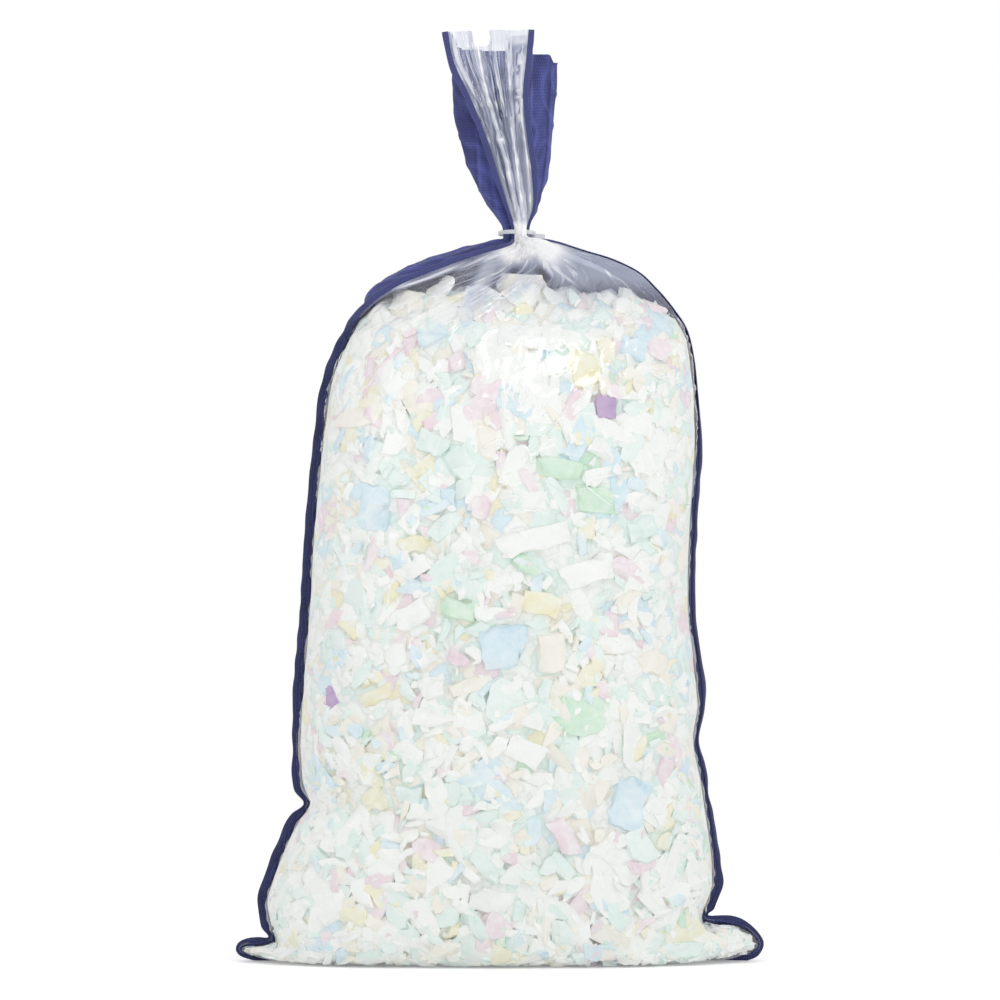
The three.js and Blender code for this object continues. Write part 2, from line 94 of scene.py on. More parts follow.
# Points along and across the sheets, along each seam of the binding and along the bottom
SHEET_ROWS, FILM_COLUMNS, BACK_COLUMNS = 361, 241, 181
TAPE_ROWS, TAPE_FLOOR_ROWS = 331, 130
# How far the back panel's top edge drops below the top of the flare, (share, drop)
FABRIC_DROP = (
    (0, 0), (0.03, 2), (0.06, 13), (0.42, 14), (0.44, 1), (0.53, 0), (0.55, 27), (0.84, 27),
    (0.852, 20), (0.94, 20), (0.952, 0), (1, 0),
)
# The folded binding's section: share of its reach over the edge, and of its thickness
TAPE_PROFILE = (
    (0, -1), (0.35, -1.06), (0.7, -1), (0.93, -0.75), (1, -0.3),
    (1, 0.3), (0.93, 0.75), (0.7, 1), (0.35, 1.06), (0, 1),
)
# The neck tie's place and sizes in millimetres, its turn and tilt in degrees, and the knot of the film
TIE_X, TIE_Z, TIE_RADIUS = 14.5, 627.8, 14.9
TIE_WIDTH, TIE_THICKNESS, TIE_TAIL = 3.6, 1.3, 18
TIE_HEAD, TIE_TURN, TIE_TILT = (4.4, 6.2, 5.2), 45, -3
KNOT, KNOT_REACH, VEIL_REACH = (TIE_X + 3, -15, 623), 37, 92
# Fold lines of the film's flare, (z, x) from the neck up, with their half width and the milk and painted
# highlight along them
FLARE_LINES = (
    (((632, 16), (660, 11), (700, 1), (740, -12), (795, -21)), 4.6, 0.7),
    (((640, 14), (688, 6.5), (716, -2.5), (760, -14.5), (798, -21)), 1.5, 0.95),
    (((680, 9), (708, 3), (742, -4), (772, -9)), 0.8, 0.85),
    (((634, 21), (665, 17), (700, 12.5), (738, 10), (760, 8), (798, 5.5)), 1.6, 0.95),
    (((634, 27), (660, 26), (690, 23.5), (720, 19), (782, 17.5)), 1.0, 0.9),
    (((700, -7), (740, -21), (790, -35)), 0.7, 0.55), (((650, 20), (690, 16), (735, 14)), 0.7, 0.7),
)
# Painted highlights along the folds that run to the knot, in the same form
FAN_GLINTS = (
    (((575, -99), (588, -60), (603, -25)), 5.5, 0.85), (((594, -38), (603, -18), (613, 0)), 4.5, 0.8),
    (((578, 69), (606, 35)), 3.5, 0.8), (((585, 97), (602, 87)), 2.6, 0.9),
)
# Clear places between the gathers: x, z, half length and half width in millimetres, and slope in degrees
CLEAR_PLACES = ((-40, 595, 27, 6, 23), (7.5, 583, 15, 4, 67), (37, 590, 9, 4.5, -45))
# White curtains of film that hang from the knot, in the same form with their strength
CURTAINS = ((-13, 588, 33, 9, 66, 0.9), (56, 596, 32, 6, -35, 0.8))
# Folds of the back panel's flare as (z, x) lines, with their half width and tone: above 0 painted light on a
# fold, below 0 painted shade in a hollow
PAINTED_PANEL_FOLDS = (
    (((664, -17), (700, -18.5), (716, -21)), 1.3, 0.8), (((664, -20), (700, -21.5)), 1.8, -0.6),
    (((640, -1), (664, -5), (690, -9.5)), 1.1, 0.5), (((646, -5), (690, -13)), 1.5, -0.4),
    (((660, 35), (700, 40.5), (782, 44)), 0.9, -1.0), (((660, 37), (700, 42), (775, 46)), 1.2, 0.6),
    (((676, -25), (700, -29), (738, -36), (752, -39)), 7, -0.7),
    (((632, 7), (660, -6), (690, -14)), 6, 0.35), (((640, 27), (665, 31), (700, 38)), 7, 0.4),
    (((735, 42), (775, 44)), 7, -0.25),
)

# Foam colours, light and deep, and the share of the loose flakes that have them
FOAM = {
    "white": ("fbfbf8", "eaefeb", 0.54),
    "mint": ("eff7f4", "d0e9e1", 0.19),
    "blue": ("ebf5f8", "b4daec", 0.07),
    "cream": ("f8f5ed", "efe9d9", 0.10),
    "yellow": ("f7f5e6", "e8dfa0", 0.04),
    "pink": ("f7f0f2", "e2b9cb", 0.045),
    "green": ("e8f5e8", "9ed9ab", 0.012),
    "purple": ("c8aed2", "8866a0", 0),
}
# Top of the fill in millimetres, its peak below the knot, its drop at the shoulders, and its top behind
FILL_TOP, PEAK_X, PEAK_WIDTH, PEAK_RISE = 587, 22, 12, 13
SHOULDER_DROP, BACK_TOP = 9, 525
# Hollows at the front of the fill's top: x, half width and floor
HOLLOWS = ((6, 5, 572), (39, 6, 583))
# Where the corner ears begin and end, and the greatest length, width and thickness of a flake in them
EAR_X, EAR_TOP, EAR_FLAKE = 165, 60, (21, 13, 5)
# Faces and number of the loose flakes' forms, their distance behind a named flake, and the height of
# the bag's underside, below which the film curves in under them
FLAKE_FACES, FLAKE_FORMS, NAMED_GAP, UNDERSIDE = 56, 28, 9, 15
# Heights in metres between which the fill changes: to longer and pinker flakes near its top, to flakes
# that lie flat near its bottom, and to flakes close to the film at the floor
HIGH_FILL, LOW_FILL, FLOOR_FILL = (0.38, 0.5), (0.08, 0.2), (0.01, 0.04)
# Distance from the middle in metres past which all flakes are pale
PALE_X = 0.18
# Layers of loose flakes: least and greatest depth behind the wall in millimetres, share of the flakes
# to try, share of their length, and whether they lie behind the film or inside the back panel
LAYERS = (
    (0, 1.2, 1.7, 1.0, True), (1.5, 4, 2.0, 1.0, True), (4.5, 8, 1.6, 1.1, True),
    (0, 6, 1.2, 0.8, False), (0.5, 3, 0.6, 0.34, True),
)
# Lowest and highest point of the core, and its gaps to the seams and to the front and back
CORE_LOW, CORE_TOP, CORE_SIDE_GAP, CORE_FRONT_GAP = 14, 574, 1.8, 10
# Lamps: name, place, width and height in metres, watts, and whether the film mirrors them
LAMPS = (
    ("front_softbox", (0.39, -1.53, 1.53), (0.85, 0.36), 3.15, True),
    ("left_softbox", (-1.9, -1.9, 1.5), (1.4, 1.4), 2.5, True),
    ("rear_softbox", (0.4, 2.6, 1.7), (1.6, 1.6), 8, True),
    ("low_fill", (0.9, -3.0, 0.34), (2.2, 0.6), 11.5, False),
)
LAMP_AIM, SENSOR_WIDTH = (0, 0, 0.42), 36
# The floor's radius, and the distances between which it turns plain white, in metres
FLOOR_RADIUS, FLOOR_FADE = 14, (0.5, 1.6)
WHITE = (1, 1, 1, 1)


def smoothstep(value, low, high):
    t = np.clip((value - low) / (high - low), 0, 1)
    return t * t * (3 - 2 * t)


def band(value, low, full, end, out):
    """1 from full to end, with soft steps down to 0 at low and at out."""
    return smoothstep(value, low, full) * (1 - smoothstep(value, end, out))


def unit(vectors):
    return vectors / np.maximum(np.linalg.norm(vectors, axis=-1, keepdims=True), 1e-9)


def bag_rows():
    """Every section of the bag from the bottom seam to the top of the flare, in millimetres."""
    rows = []
    for (left, left_z), (right, right_z), (z, depth) in zip(LEFT_SEAM, RIGHT_SEAM, MIDDLE):
        index = len(rows)
        fullness = BASE_FULLNESS + (BODY_FULLNESS - BASE_FULLNESS) * min(z / ROUND_Z, 1)
        rows.append(dict(
            left=left, left_z=left_z, right=right, right_z=right_z, z=z, depth=depth,
            fullness=fullness, lift=9 if index < FLOOR_ROWS else 3, pleat=0, tuck=0, sag=0,
            fin=NARROW_FIN if index in CREASED_ROWS else FIN_WIDTH, turn_left=0, turn_right=0,
        ))
    for z, left, right, depth, pleat, tuck, fin, turn_left, turn_right in GATHER:
        rows.append(dict(
            left=left, left_z=z, right=right, right_z=z, z=z, depth=depth, fullness=1, lift=1,
            pleat=pleat, tuck=tuck, sag=0.5 if z < TIE_Z else 0, fin=fin,
            turn_left=turn_left, turn_right=turn_right,
        ))
    return {key: np.array([row[key] for row in rows], float) for key in rows[0]}


ROWS = bag_rows()


def waves(points, seed, length, count=18):
    """Smooth repeatable noise of about -1 to 1 over points, with features of the given length."""
    rng = np.random.default_rng(seed)
    points = np.asarray(points, float)
    total = np.zeros(points.shape[:-1])
    for _ in range(count):
        way = unit(rng.normal(size=points.shape[-1]))
        pitch = length * rng.uniform(0.6, 1.7)
        total += np.cos(points @ way * (2 * math.pi / pitch) + rng.uniform(0, 2 * math.pi))
    return total / math.sqrt(count / 2) * 0.6


def fold_pattern(share, drift, seed, turns):
    """Depth from 0 to 1 of the gathers across a sheet, in ridges that are sharp on the outside."""
    rng = np.random.default_rng(seed)
    total = np.zeros(np.broadcast(share, drift).shape)
    for count in turns:
        phase = rng.uniform(0, 2 * math.pi) + drift * rng.uniform(-0.7, 0.7)
        total = total + np.abs(np.sin(math.pi * count * share + phase))
    return total / len(turns)


def sheet_net(share, front, fine_folds):
    """Points of the film or the back panel on every section, at shares from the left seam to the right."""
    row = {key: values[:, None] for key, values in ROWS.items()}
    start = row["turn_left"] + (-180 if front else 180)
    angle = np.radians(start + (-row["turn_right"] - start) * share)
    across, along = np.cos(angle), np.sin(angle)
    centre = (row["left"] + row["right"]) / 2
    x = centre + (row["right"] - row["left"]) / 2 * across
    y = row["depth"] * np.sign(along) * np.abs(along) ** row["fullness"]
    side_z = np.where(across < 0, row["left_z"], row["right_z"])
    z = row["z"] + (side_z - row["z"]) * np.abs(across) ** row["lift"]
    pleats = FILM_PLEATS if front else FABRIC_PLEATS
    wave = row["pleat"] * (1 - np.cos(2 * math.pi * pleats * share)) / 2
    edge = np.minimum(share, 1 - share)
    fold = np.maximum(wave, row["tuck"] * (1 - smoothstep(edge * pleats, 0.6, 1)))
    if fine_folds:
        seed, drift = 3 if front else 4, row["z"] / 60
        gathers = fold_pattern(share, drift, seed, (9, 14, 23))
        flares = fold_pattern(share, drift, seed, (4, 7) if front else (5, 8))
        depth = np.interp(row["z"], (470, 540, 579, 607, 631, 660), (0, 1.2, 3.2, 4.2, 3.0, 0))
        flared = np.interp(row["z"], (623, 660, 709, 801), (0, 5.5, 7, 6))
        fold = fold + (depth * gathers + flared * flares) * smoothstep(edge, 0.0, 0.05)
    reach = np.maximum(np.hypot(x - centre, y), 1e-6)
    fold = np.minimum(fold, reach * 0.8)
    x, y = x - (x - centre) / reach * fold, y - y / reach * fold
    z = z - fold * row["sag"]
    flare = np.clip((z - FLARE_Z) / (TOP_Z - FLARE_Z), 0, None)
    if front:
        drop = FILM_TOP_DROP * np.exp(-(((share - 0.42) / 0.09) ** 4))
    else:
        drop = np.interp(share, *zip(*FABRIC_DROP))
    return np.stack((x, y, z - flare * drop), axis=-1)


def row_knots():
    """Distance of every section from the first along the film, in millimetres."""
    net = sheet_net(np.linspace(0, 1, 41), True, False)
    gaps = np.linalg.norm(np.diff(net, axis=0), axis=2).mean(axis=1)
    return np.concatenate(([0], np.cumsum(gaps)))


KNOTS = row_knots()


def smooth_rows(values, at):
    """Values given per section, joined by smooth curves and read at places along the sheet."""
    shape = values.shape[1:]
    values = values.reshape(len(values), -1)
    gap = np.diff(KNOTS)[:, None]
    slope = np.diff(values, axis=0) / gap
    tangent = np.empty_like(values)
    tangent[0], tangent[-1] = slope[0], slope[-1]
    tangent[1:-1] = (slope[:-1] * gap[1:] + slope[1:] * gap[:-1]) / (gap[1:] + gap[:-1])
    index = np.clip(np.searchsorted(KNOTS, at, side="right") - 1, 0, len(gap) - 1)
    h = gap[index]
    t = ((at - KNOTS[index]) / h[:, 0])[:, None]
    joined = (
        (2 * t**3 - 3 * t**2 + 1) * values[index] + (t**3 - 2 * t**2 + t) * h * tangent[index]
        + (3 * t**2 - 2 * t**3) * values[index + 1] + (t**3 - t**2) * h * tangent[index + 1]
    )
    return joined.reshape((len(at),) + shape)


def net_normals(net):
    """Outward normals of a film net, or inward ones of a back panel net."""
    return unit(np.cross(np.gradient(net, axis=1), np.gradient(net, axis=0)))


def seam_frames(left):
    """Root, outward way, way from the film to the back and fin width of the seam on every section."""
    root = sheet_net(np.array([0.0 if left else 1.0]), True, False)[:, 0]
    start = np.array([[-190 if left else 190, root[0, 1], root[0, 2]]])
    run = unit(np.vstack((root[1:], root[-1:])) - np.vstack((start, root[:-1])))
    side = -1 if left else 1
    outward = np.stack((side * run[:, 2], np.zeros(len(run)), -side * run[:, 0]), axis=1)
    lean = 0.5 + 0.5 * np.minimum(1, ROWS["tuck"] / 9)
    turn = np.radians(lean * (ROWS["turn_left"] if left else -ROWS["turn_right"]))
    turned = np.stack((
        outward[:, 0] * np.cos(turn) - outward[:, 1] * np.sin(turn),
        outward[:, 0] * np.sin(turn) + outward[:, 1] * np.cos(turn),
        outward[:, 2],
    ), axis=1)
    turned = unit(turned - run * np.sum(turned * run, axis=1, keepdims=True))
    back = np.cross(turned, run) if left else np.cross(run, turned)
    return root, turned, back, ROWS["fin"]


def dense_frames(left, at):
    """The seam's frames at places along it, with the right seam's strip turned towards the back."""
    root, outward, back, fin = (smooth_rows(part, at) for part in seam_frames(left))
    outward, back = unit(outward), unit(back)
    if not left:
        z = root[:, 2]
        turn = np.radians(50 + 32 * smoothstep(z, 430, 500)) * band(z, 60, 110, 608, 626)
        cos, sin = np.cos(turn)[:, None], np.sin(turn)[:, None]
        outward, back = outward * cos + back * sin, back * cos - outward * sin
    return root, outward, back, np.clip(fin, 2.4, 6.4)


def with_fins(net, at, shift):
    """The net with the strip at each side that the binding holds, its columns moved to the seam."""
    sides = []
    for left in (True, False):
        root, outward, back, fin = dense_frames(left, at)
        root = root + back * shift
        net[:, 0 if left else -1] = root
        sides.append([root + outward * (fin * share)[:, None] for share in (0.45, 0.9)])
    (near_left, far_left), (near_right, far_right) = sides
    return np.concatenate((
        far_left[:, None], near_left[:, None], net, near_right[:, None], far_right[:, None],
    ), axis=1)


def over_fins(values):
    """Values of a net's points, carried on to the strips at its sides."""
    return np.pad(values, ((0, 0), (2, 2)), mode="edge")


def flat_lengths(net):
    """Lengths along the sheet in metres, across from its middle and up from the bottom seam."""
    across = np.linalg.norm(np.diff(net, axis=1), axis=2)
    across = np.concatenate((np.zeros((len(net), 1)), np.cumsum(across, axis=1)), axis=1)
    middle = net.shape[1] // 2
    across -= across[:, middle:middle + 1]
    up = np.linalg.norm(np.diff(net[:, middle], axis=0), axis=1)
    up = np.concatenate(([0], np.cumsum(up)))[:, None] * np.ones((1, net.shape[1]))
    return np.stack((across, up), axis=-1) * MM


def deselect():
    if bpy.context.object is not None and bpy.context.object.mode != "OBJECT":
        bpy.ops.object.mode_set(mode="OBJECT")
    bpy.ops.object.select_all(action="DESELECT")


def select_only(piece):
    deselect()
    piece.select_set(True)
    bpy.context.view_layer.objects.active = piece


def new_object(name, data):
    made = bpy.data.objects.new(name, data)
    bpy.context.scene.collection.objects.link(made)
    return made


def mesh_points(piece):
    points = np.empty(len(piece.data.vertices) * 3, np.float32)
    piece.data.vertices.foreach_get("co", points)
    return points.reshape(-1, 3).astype(float)


def move_points(piece, points):
    piece.data.vertices.foreach_set("co", points.astype(np.float32).ravel())
    piece.data.update()


def apply_modifier(piece, kind, **settings):
    modifier = piece.modifiers.new(kind.lower(), kind)
    for key, value in settings.items():
        setattr(modifier, key, value)
    bpy.ops.object.modifier_apply(modifier=modifier.name)


def edit_all():
    """Start to edit the active piece with everything selected."""
    bpy.ops.object.mode_set(mode="EDIT")
    bpy.ops.mesh.select_all(action="SELECT")


def close_edit():
    """Turn all faces of the piece being edited outwards and end the edit."""
    bpy.ops.mesh.select_all(action="SELECT")
    bpy.ops.mesh.normals_make_consistent(inside=False)
    bpy.ops.object.mode_set(mode="OBJECT")


def cut_off(place, way):
    """Cut what lies beyond a plane off the piece being edited, and close the cut."""
    bpy.ops.mesh.select_all(action="SELECT")
    bpy.ops.mesh.bisect(
        plane_co=tuple(place), plane_no=tuple(way), use_fill=True, clear_outer=True)


def split_faces(merged, cuts):
    """Merge close corners of the piece being edited and split its faces into smaller triangles."""
    bpy.ops.mesh.select_all(action="SELECT")
    bpy.ops.mesh.remove_doubles(threshold=merged)
    bpy.ops.mesh.quads_convert_to_tris()
    bpy.ops.mesh.subdivide(number_cuts=cuts)
    bpy.ops.mesh.quads_convert_to_tris()


def cloth_grid(name, net, flat):
    """A flat grid of cloth, moved to the net in millimetres, with its lengths in metres as UV map."""
    rows, columns = net.shape[0] - 1, net.shape[1] - 1
    deselect()
    bpy.ops.mesh.primitive_grid_add(x_subdivisions=columns, y_subdivisions=rows, size=1)
    piece = bpy.context.object
    piece.name = piece.data.name = name
    mesh = piece.data
    place = mesh_points(piece)
    column = np.rint((place[:, 0] + 0.5) * columns).astype(int)
    row = np.rint((place[:, 1] + 0.5) * rows).astype(int)
    move_points(piece, net[row, column] * MM)
    corner = np.empty(len(mesh.loops), np.int32)
    mesh.loops.foreach_get("vertex_index", corner)
    mesh.uv_layers[0].data.foreach_set("uv", flat[row, column][corner].astype(np.float32).ravel())
    bpy.ops.object.shade_smooth()
    return piece, row, column


def point_values(piece, name, values):
    layer = piece.data.attributes.new(name, "FLOAT", "POINT")
    layer.data.foreach_set("value", np.asarray(values, np.float32).ravel())


def finish_piece(piece, material, nodes):
    piece.data.materials.clear()
    piece.data.materials.append(material)
    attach(piece, "root")
    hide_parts(*nodes)


def linear(hex_colour):
    parts = [int(hex_colour[i:i + 2], 16) / 255 for i in (0, 2, 4)]
    return tuple(c / 12.92 if c <= 0.04045 else ((c + 0.055) / 1.055) ** 2.4 for c in parts)


def new_material(name):
    material = bpy.data.materials.new(name)
    material.use_nodes = True
    material.node_tree.nodes.clear()
    return material, material.node_tree


def add_node(tree, kind, inputs=None, **settings):
    """A node with its settings, and its inputs by name or number, each a value or a socket to link."""
    made = tree.nodes.new("ShaderNode" + kind)
    for key, value in settings.items():
        setattr(made, key, value)
    for socket, value in (inputs or {}).items():
        if isinstance(value, bpy.types.NodeSocket):
            tree.links.new(value, made.inputs[socket])
        else:
            made.inputs[socket].default_value = value
    return made


def math_node(tree, operation, *values):
    return add_node(tree, "Math", dict(enumerate(values)), operation=operation).outputs[0]


def noise(tree, place, scale, detail, roughness=0.5, **settings):
    inputs = {"Vector": place, "Scale": scale, "Detail": detail, "Roughness": roughness}
    return add_node(tree, "TexNoise", inputs, **settings).outputs["Fac"]


def cell_edges(tree, place, scale):
    inputs = {"Vector": place, "Scale": scale}
    return add_node(tree, "TexVoronoi", inputs, feature="DISTANCE_TO_EDGE").outputs["Distance"]


def map_range(tree, value, low, high, to_low=0, to_high=1):
    inputs = {"Value": value, "From Min": low, "From Max": high, "To Min": to_low, "To Max": to_high}
    return add_node(tree, "MapRange", inputs).outputs[0]


def colour_ramp(tree, value, *stops):
    """A colour between two stops, each a position and a colour."""
    made = add_node(tree, "ValToRGB", {0: value})
    for stop, (position, colour) in zip(made.color_ramp.elements, stops):
        stop.position, stop.color = position, (*colour, 1)
    return made.outputs[0]


def bump(tree, height, strength, distance):
    inputs = {"Height": height, "Strength": strength, "Distance": distance}
    return add_node(tree, "Bump", inputs).outputs[0]


def attribute(tree, name):
    return add_node(tree, "Attribute", attribute_name=name).outputs["Fac"]


def mix_shaders(tree, share, first, second):
    return add_node(tree, "MixShader", {0: share, 1: first.outputs[0], 2: second.outputs[0]})


def show(tree, shader):
    add_node(tree, "OutputMaterial", {"Surface": shader.outputs[0]})


def seen_directly(tree):
    """1 for rays from the camera, from mirrors and through the film, and 0 for the light on the bag."""
    path = add_node(tree, "LightPath")
    seen = math_node(tree, "MAXIMUM", path.outputs["Is Camera Ray"], path.outputs["Is Glossy Ray"])
    return math_node(tree, "MAXIMUM", seen, path.outputs["Is Transmission Ray"])


def film_material(look):
    """Clear film: light passes, the gathers are milky with painted highlights along their folds, painted
    glint lines streak the body, and gloss rises towards grazing.
    """
    material, tree = new_material("clear_film")
    uv = add_node(tree, "UVMap", uv_map="UVMap").outputs[0]
    crinkle = bump(tree, noise(tree, uv, 55, 4, 0.6), look.film_crinkle, 0.004)
    clear = add_node(tree, "BsdfTransparent", {"Color": (*look.film_colour, 1)})
    gloss = add_node(tree, "BsdfAnisotropic", {
        "Color": WHITE, "Roughness": look.film_roughness, "Normal": crinkle})
    facing = add_node(tree, "LayerWeight", {"Blend": 0.5, "Normal": crinkle}).outputs["Facing"]
    grazing = math_node(tree, "POWER", facing, 5)
    mirror = math_node(tree, "MULTIPLY_ADD", grazing, 0.7, look.film_mirror)
    shine = mix_shaders(tree, mirror, clear, gloss)
    # Painted glint lines: thin cell edges, kept in patches and where the crease attribute allows, drawn in
    # white
    thin = map_range(tree, cell_edges(tree, uv, 34), 0, 0.03, 1, 0)
    some = map_range(tree, noise(tree, uv, 30, 1), 0.56, 0.64)
    lines = math_node(tree, "MULTIPLY", thin, some)
    lines = math_node(tree, "MULTIPLY", lines, attribute(tree, "crease"))
    height = add_node(tree, "SeparateXYZ", {0: uv}).outputs[1]
    fibre = add_node(tree, "CombineXYZ", {
        0: math_node(tree, "MULTIPLY", attribute(tree, "across"), 30),
        1: math_node(tree, "MULTIPLY", height, 16)}).outputs[0]
    pulls = noise(tree, fibre, 1, 4, 0.62, noise_dimensions="2D")
    streaks = math_node(tree, "MULTIPLY", attribute(tree, "veil"), map_range(tree, pulls, 0.38, 0.62))
    milk_and_glint_share = math_node(tree, "MAXIMUM", attribute(tree, "milk_and_glint"), streaks)
    whiter = math_node(tree, "MAXIMUM", milk_and_glint_share, math_node(tree, "MULTIPLY", lines, 4))
    colour = colour_ramp(tree, whiter, (0.55, look.milk_colour), (0.95, (0.95, 0.95, 0.96)))
    milk_and_glint = add_node(tree, "BsdfPrincipled", {"Base Color": colour, "Roughness": 0.4})
    show(tree, mix_shaders(tree, math_node(tree, "MAXIMUM", milk_and_glint_share, lines), shine, milk_and_glint))
    return material


def cloth_material(name, colour, look):
    """Spun-bonded cloth: a fine embossed net, mottled fibres, painted shade and light from its folds, and a
    soft sheen.
    """
    material, tree = new_material(name)
    uv = add_node(tree, "UVMap", uv_map="UVMap").outputs[0]
    parts = add_node(tree, "SeparateXYZ", {0: uv})
    ribs = []
    for slant in ("ADD", "SUBTRACT"):
        way = math_node(tree, slant, parts.outputs[0], parts.outputs[1])
        turns = math_node(tree, "MULTIPLY", way, math.pi / look.emboss_pitch)
        ribs.append(math_node(tree, "SINE", turns))
    emboss = math_node(tree, "MULTIPLY", *ribs)
    height = math_node(tree, "MULTIPLY_ADD", emboss, 1.5, noise(tree, uv, 420, 3, 0.65))
    tone = math_node(tree, "MULTIPLY_ADD", height, 0.5, noise(tree, uv, 38, 2))
    # Painted shade and light of the folds, with random tone, from the attribute
    tone = math_node(tree, "MULTIPLY_ADD", attribute(tree, "shade_and_tone"), 0.9, tone)
    dark, pale = [c * 0.6 for c in colour], [min(1, c * 2.3) for c in colour]
    tone = colour_ramp(tree, math_node(tree, "MULTIPLY", tone, 0.55), (0.22, dark), (0.9, pale))
    show(tree, add_node(tree, "BsdfPrincipled", {
        "Base Color": tone, "Normal": bump(tree, height, 0.5, 0.0004), "Roughness": 0.8,
        "Sheen Weight": look.cloth_sheen, "Sheen Roughness": 0.45, "Specular IOR Level": 0.3,
    }))
    return material


def show_foam(tree, colour, normal):
    show(tree, add_node(tree, "BsdfPrincipled", {
        "Base Color": colour, "Normal": normal, "Roughness": 0.95, "Specular IOR Level": 0.1}))


def foam_material(colour):
    """Open-cell foam: a tint for each flake with painted shade across it, faint mottling and fine torn
    cells.
    """
    material, tree = new_material(f"torn_{colour}")
    light, deep, _ = FOAM[colour]
    place = add_node(tree, "TexCoord").outputs["Object"]
    mottle = noise(tree, place, 150, 4, 0.6)
    shade = math_node(tree, "MULTIPLY_ADD", mottle, 1.2, attribute(tree, "tint_and_shade"))
    shade = math_node(tree, "MULTIPLY", shade, 0.5)
    torn, cells = noise(tree, place, 150, 1), noise(tree, place, 620, 3, 0.7)
    height = math_node(tree, "MULTIPLY_ADD", torn, 2, cells)
    tint_and_shade = colour_ramp(tree, shade, (0.22, linear(light)), (0.95, linear(deep)))
    show_foam(tree, tint_and_shade, bump(tree, height, 0.45, 0.0009))
    return material


def core_material():
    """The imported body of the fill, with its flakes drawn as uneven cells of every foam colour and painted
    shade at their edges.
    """
    material, tree = new_material("foam_core")
    place = add_node(tree, "TexCoord").outputs["Object"]
    ragged = noise(tree, place, 70, 3).node.outputs["Color"]
    shift = add_node(tree, "VectorMath", {
        0: ragged, 1: (0.02, 0.02, 0.02), 2: place}, operation="MULTIPLY_ADD").outputs[0]
    cells = add_node(tree, "TexVoronoi", {"Vector": shift, "Scale": 58})
    edges = cell_edges(tree, shift, 58)
    pick = add_node(tree, "SeparateColor", {0: cells.outputs["Color"]})
    ramp = add_node(tree, "ValToRGB", {0: pick.outputs[0]})
    stops = ramp.color_ramp.elements
    ramp.color_ramp.interpolation = "CONSTANT"
    stops.remove(stops[1])
    start = 0
    for light, deep, share in FOAM.values():
        stop = stops.new(start) if start else stops[0]
        stop.color = (*(0.7 * a + 0.3 * b for a, b in zip(linear(light), linear(deep))), 1)
        start += share
    # Painted shade in the gaps: each cell darker towards its edges
    dark = add_node(tree, "HueSaturation", {
        "Value": map_range(tree, edges, 0, 0.12, 0.9, 1), "Color": ramp.outputs[0]})
    show_foam(tree, dark.outputs[0], bump(tree, edges, 0.6, 0.006))
    return material


def tie_material(look):
    """Translucent moulded plastic with faint flow marks."""
    material, tree = new_material("tie_plastic")
    flow = noise(tree, add_node(tree, "TexCoord").outputs["Object"], 300, 2)
    colour = colour_ramp(tree, flow, (0, [c * 0.9 for c in look.tie_colour]), (1, look.tie_colour))
    show(tree, add_node(tree, "BsdfPrincipled", {
        "Base Color": colour, "Roughness": 0.28, "Alpha": 0.62}))
    return material


class BagLook(bpy.types.PropertyGroup):
    """Finishes of the bag."""
    film_colour: bpy.props.FloatVectorProperty(
        name="Film colour", description="Light that the film lets through",
        default=(0.99, 0.995, 0.995), size=3, subtype="COLOR", min=0, max=1)
    milk_colour: bpy.props.FloatVectorProperty(
        name="Gather colour", description="Colour of the film where many layers are gathered",
        default=(0.58, 0.62, 0.77), size=3, subtype="COLOR", min=0, max=1)
    film_roughness: bpy.props.FloatProperty(
        name="Film roughness", description="Roughness of the film's gloss",
        default=0.05, min=0, max=1, subtype="FACTOR")
    film_mirror: bpy.props.FloatProperty(
        name="Film mirror", description="Share of light that the film mirrors when seen straight on",
        default=0.077, min=0, max=1, subtype="FACTOR")
    film_crinkle: bpy.props.FloatProperty(
        name="Film crinkle", description="Strength of the fine crinkles in the film",
        default=0.05, min=0, max=1, subtype="FACTOR")
    cloth_colour: bpy.props.FloatVectorProperty(
        name="Cloth colour", description="Colour of the non-woven back panel",
        default=linear("484d84"), size=3, subtype="COLOR", min=0, max=1)
    # The binding is darker than the cloth as painted shade
    tape_colour: bpy.props.FloatVectorProperty(
        name="Binding colour", description="Colour of the folded edge binding",
        default=linear("2f3359"), size=3, subtype="COLOR", min=0, max=1)
    cloth_sheen: bpy.props.FloatProperty(
        name="Cloth sheen", description="Soft sheen of the non-woven fibres",
        default=0.25, min=0, max=1, subtype="FACTOR")
    emboss_pitch: bpy.props.FloatProperty(
        name="Emboss pitch", description="Distance between the embossed points of the cloth",
        default=1.5 * MM, min=0.5 * MM, max=6 * MM, unit="LENGTH")
    tie_colour: bpy.props.FloatVectorProperty(
        name="Tie colour", description="Colour of the neck tie",
        default=linear("eceff2"), size=3, subtype="COLOR", min=0, max=1)


class BagFill(bpy.types.PropertyGroup):
    """The loose flakes of the fill."""
    seed: bpy.props.IntProperty(
        name="Seed", description="Number that sets how the flakes fall", default=11, min=0)
    flake_length: bpy.props.FloatProperty(
        name="Flake length", description="Middle length of a loose flake",
        default=30 * MM, min=8 * MM, max=80 * MM, unit="LENGTH")
    film_gap: bpy.props.FloatProperty(
        name="Gap to the film", description="Least distance between a flake and the film",
        default=2.0 * MM, min=1 * MM, max=10 * MM, unit="LENGTH")
    flakes_per_layer: bpy.props.IntProperty(
        name="Flakes per layer", description="Flakes tried in each layer behind the film",
        default=1500, min=50, max=6000)


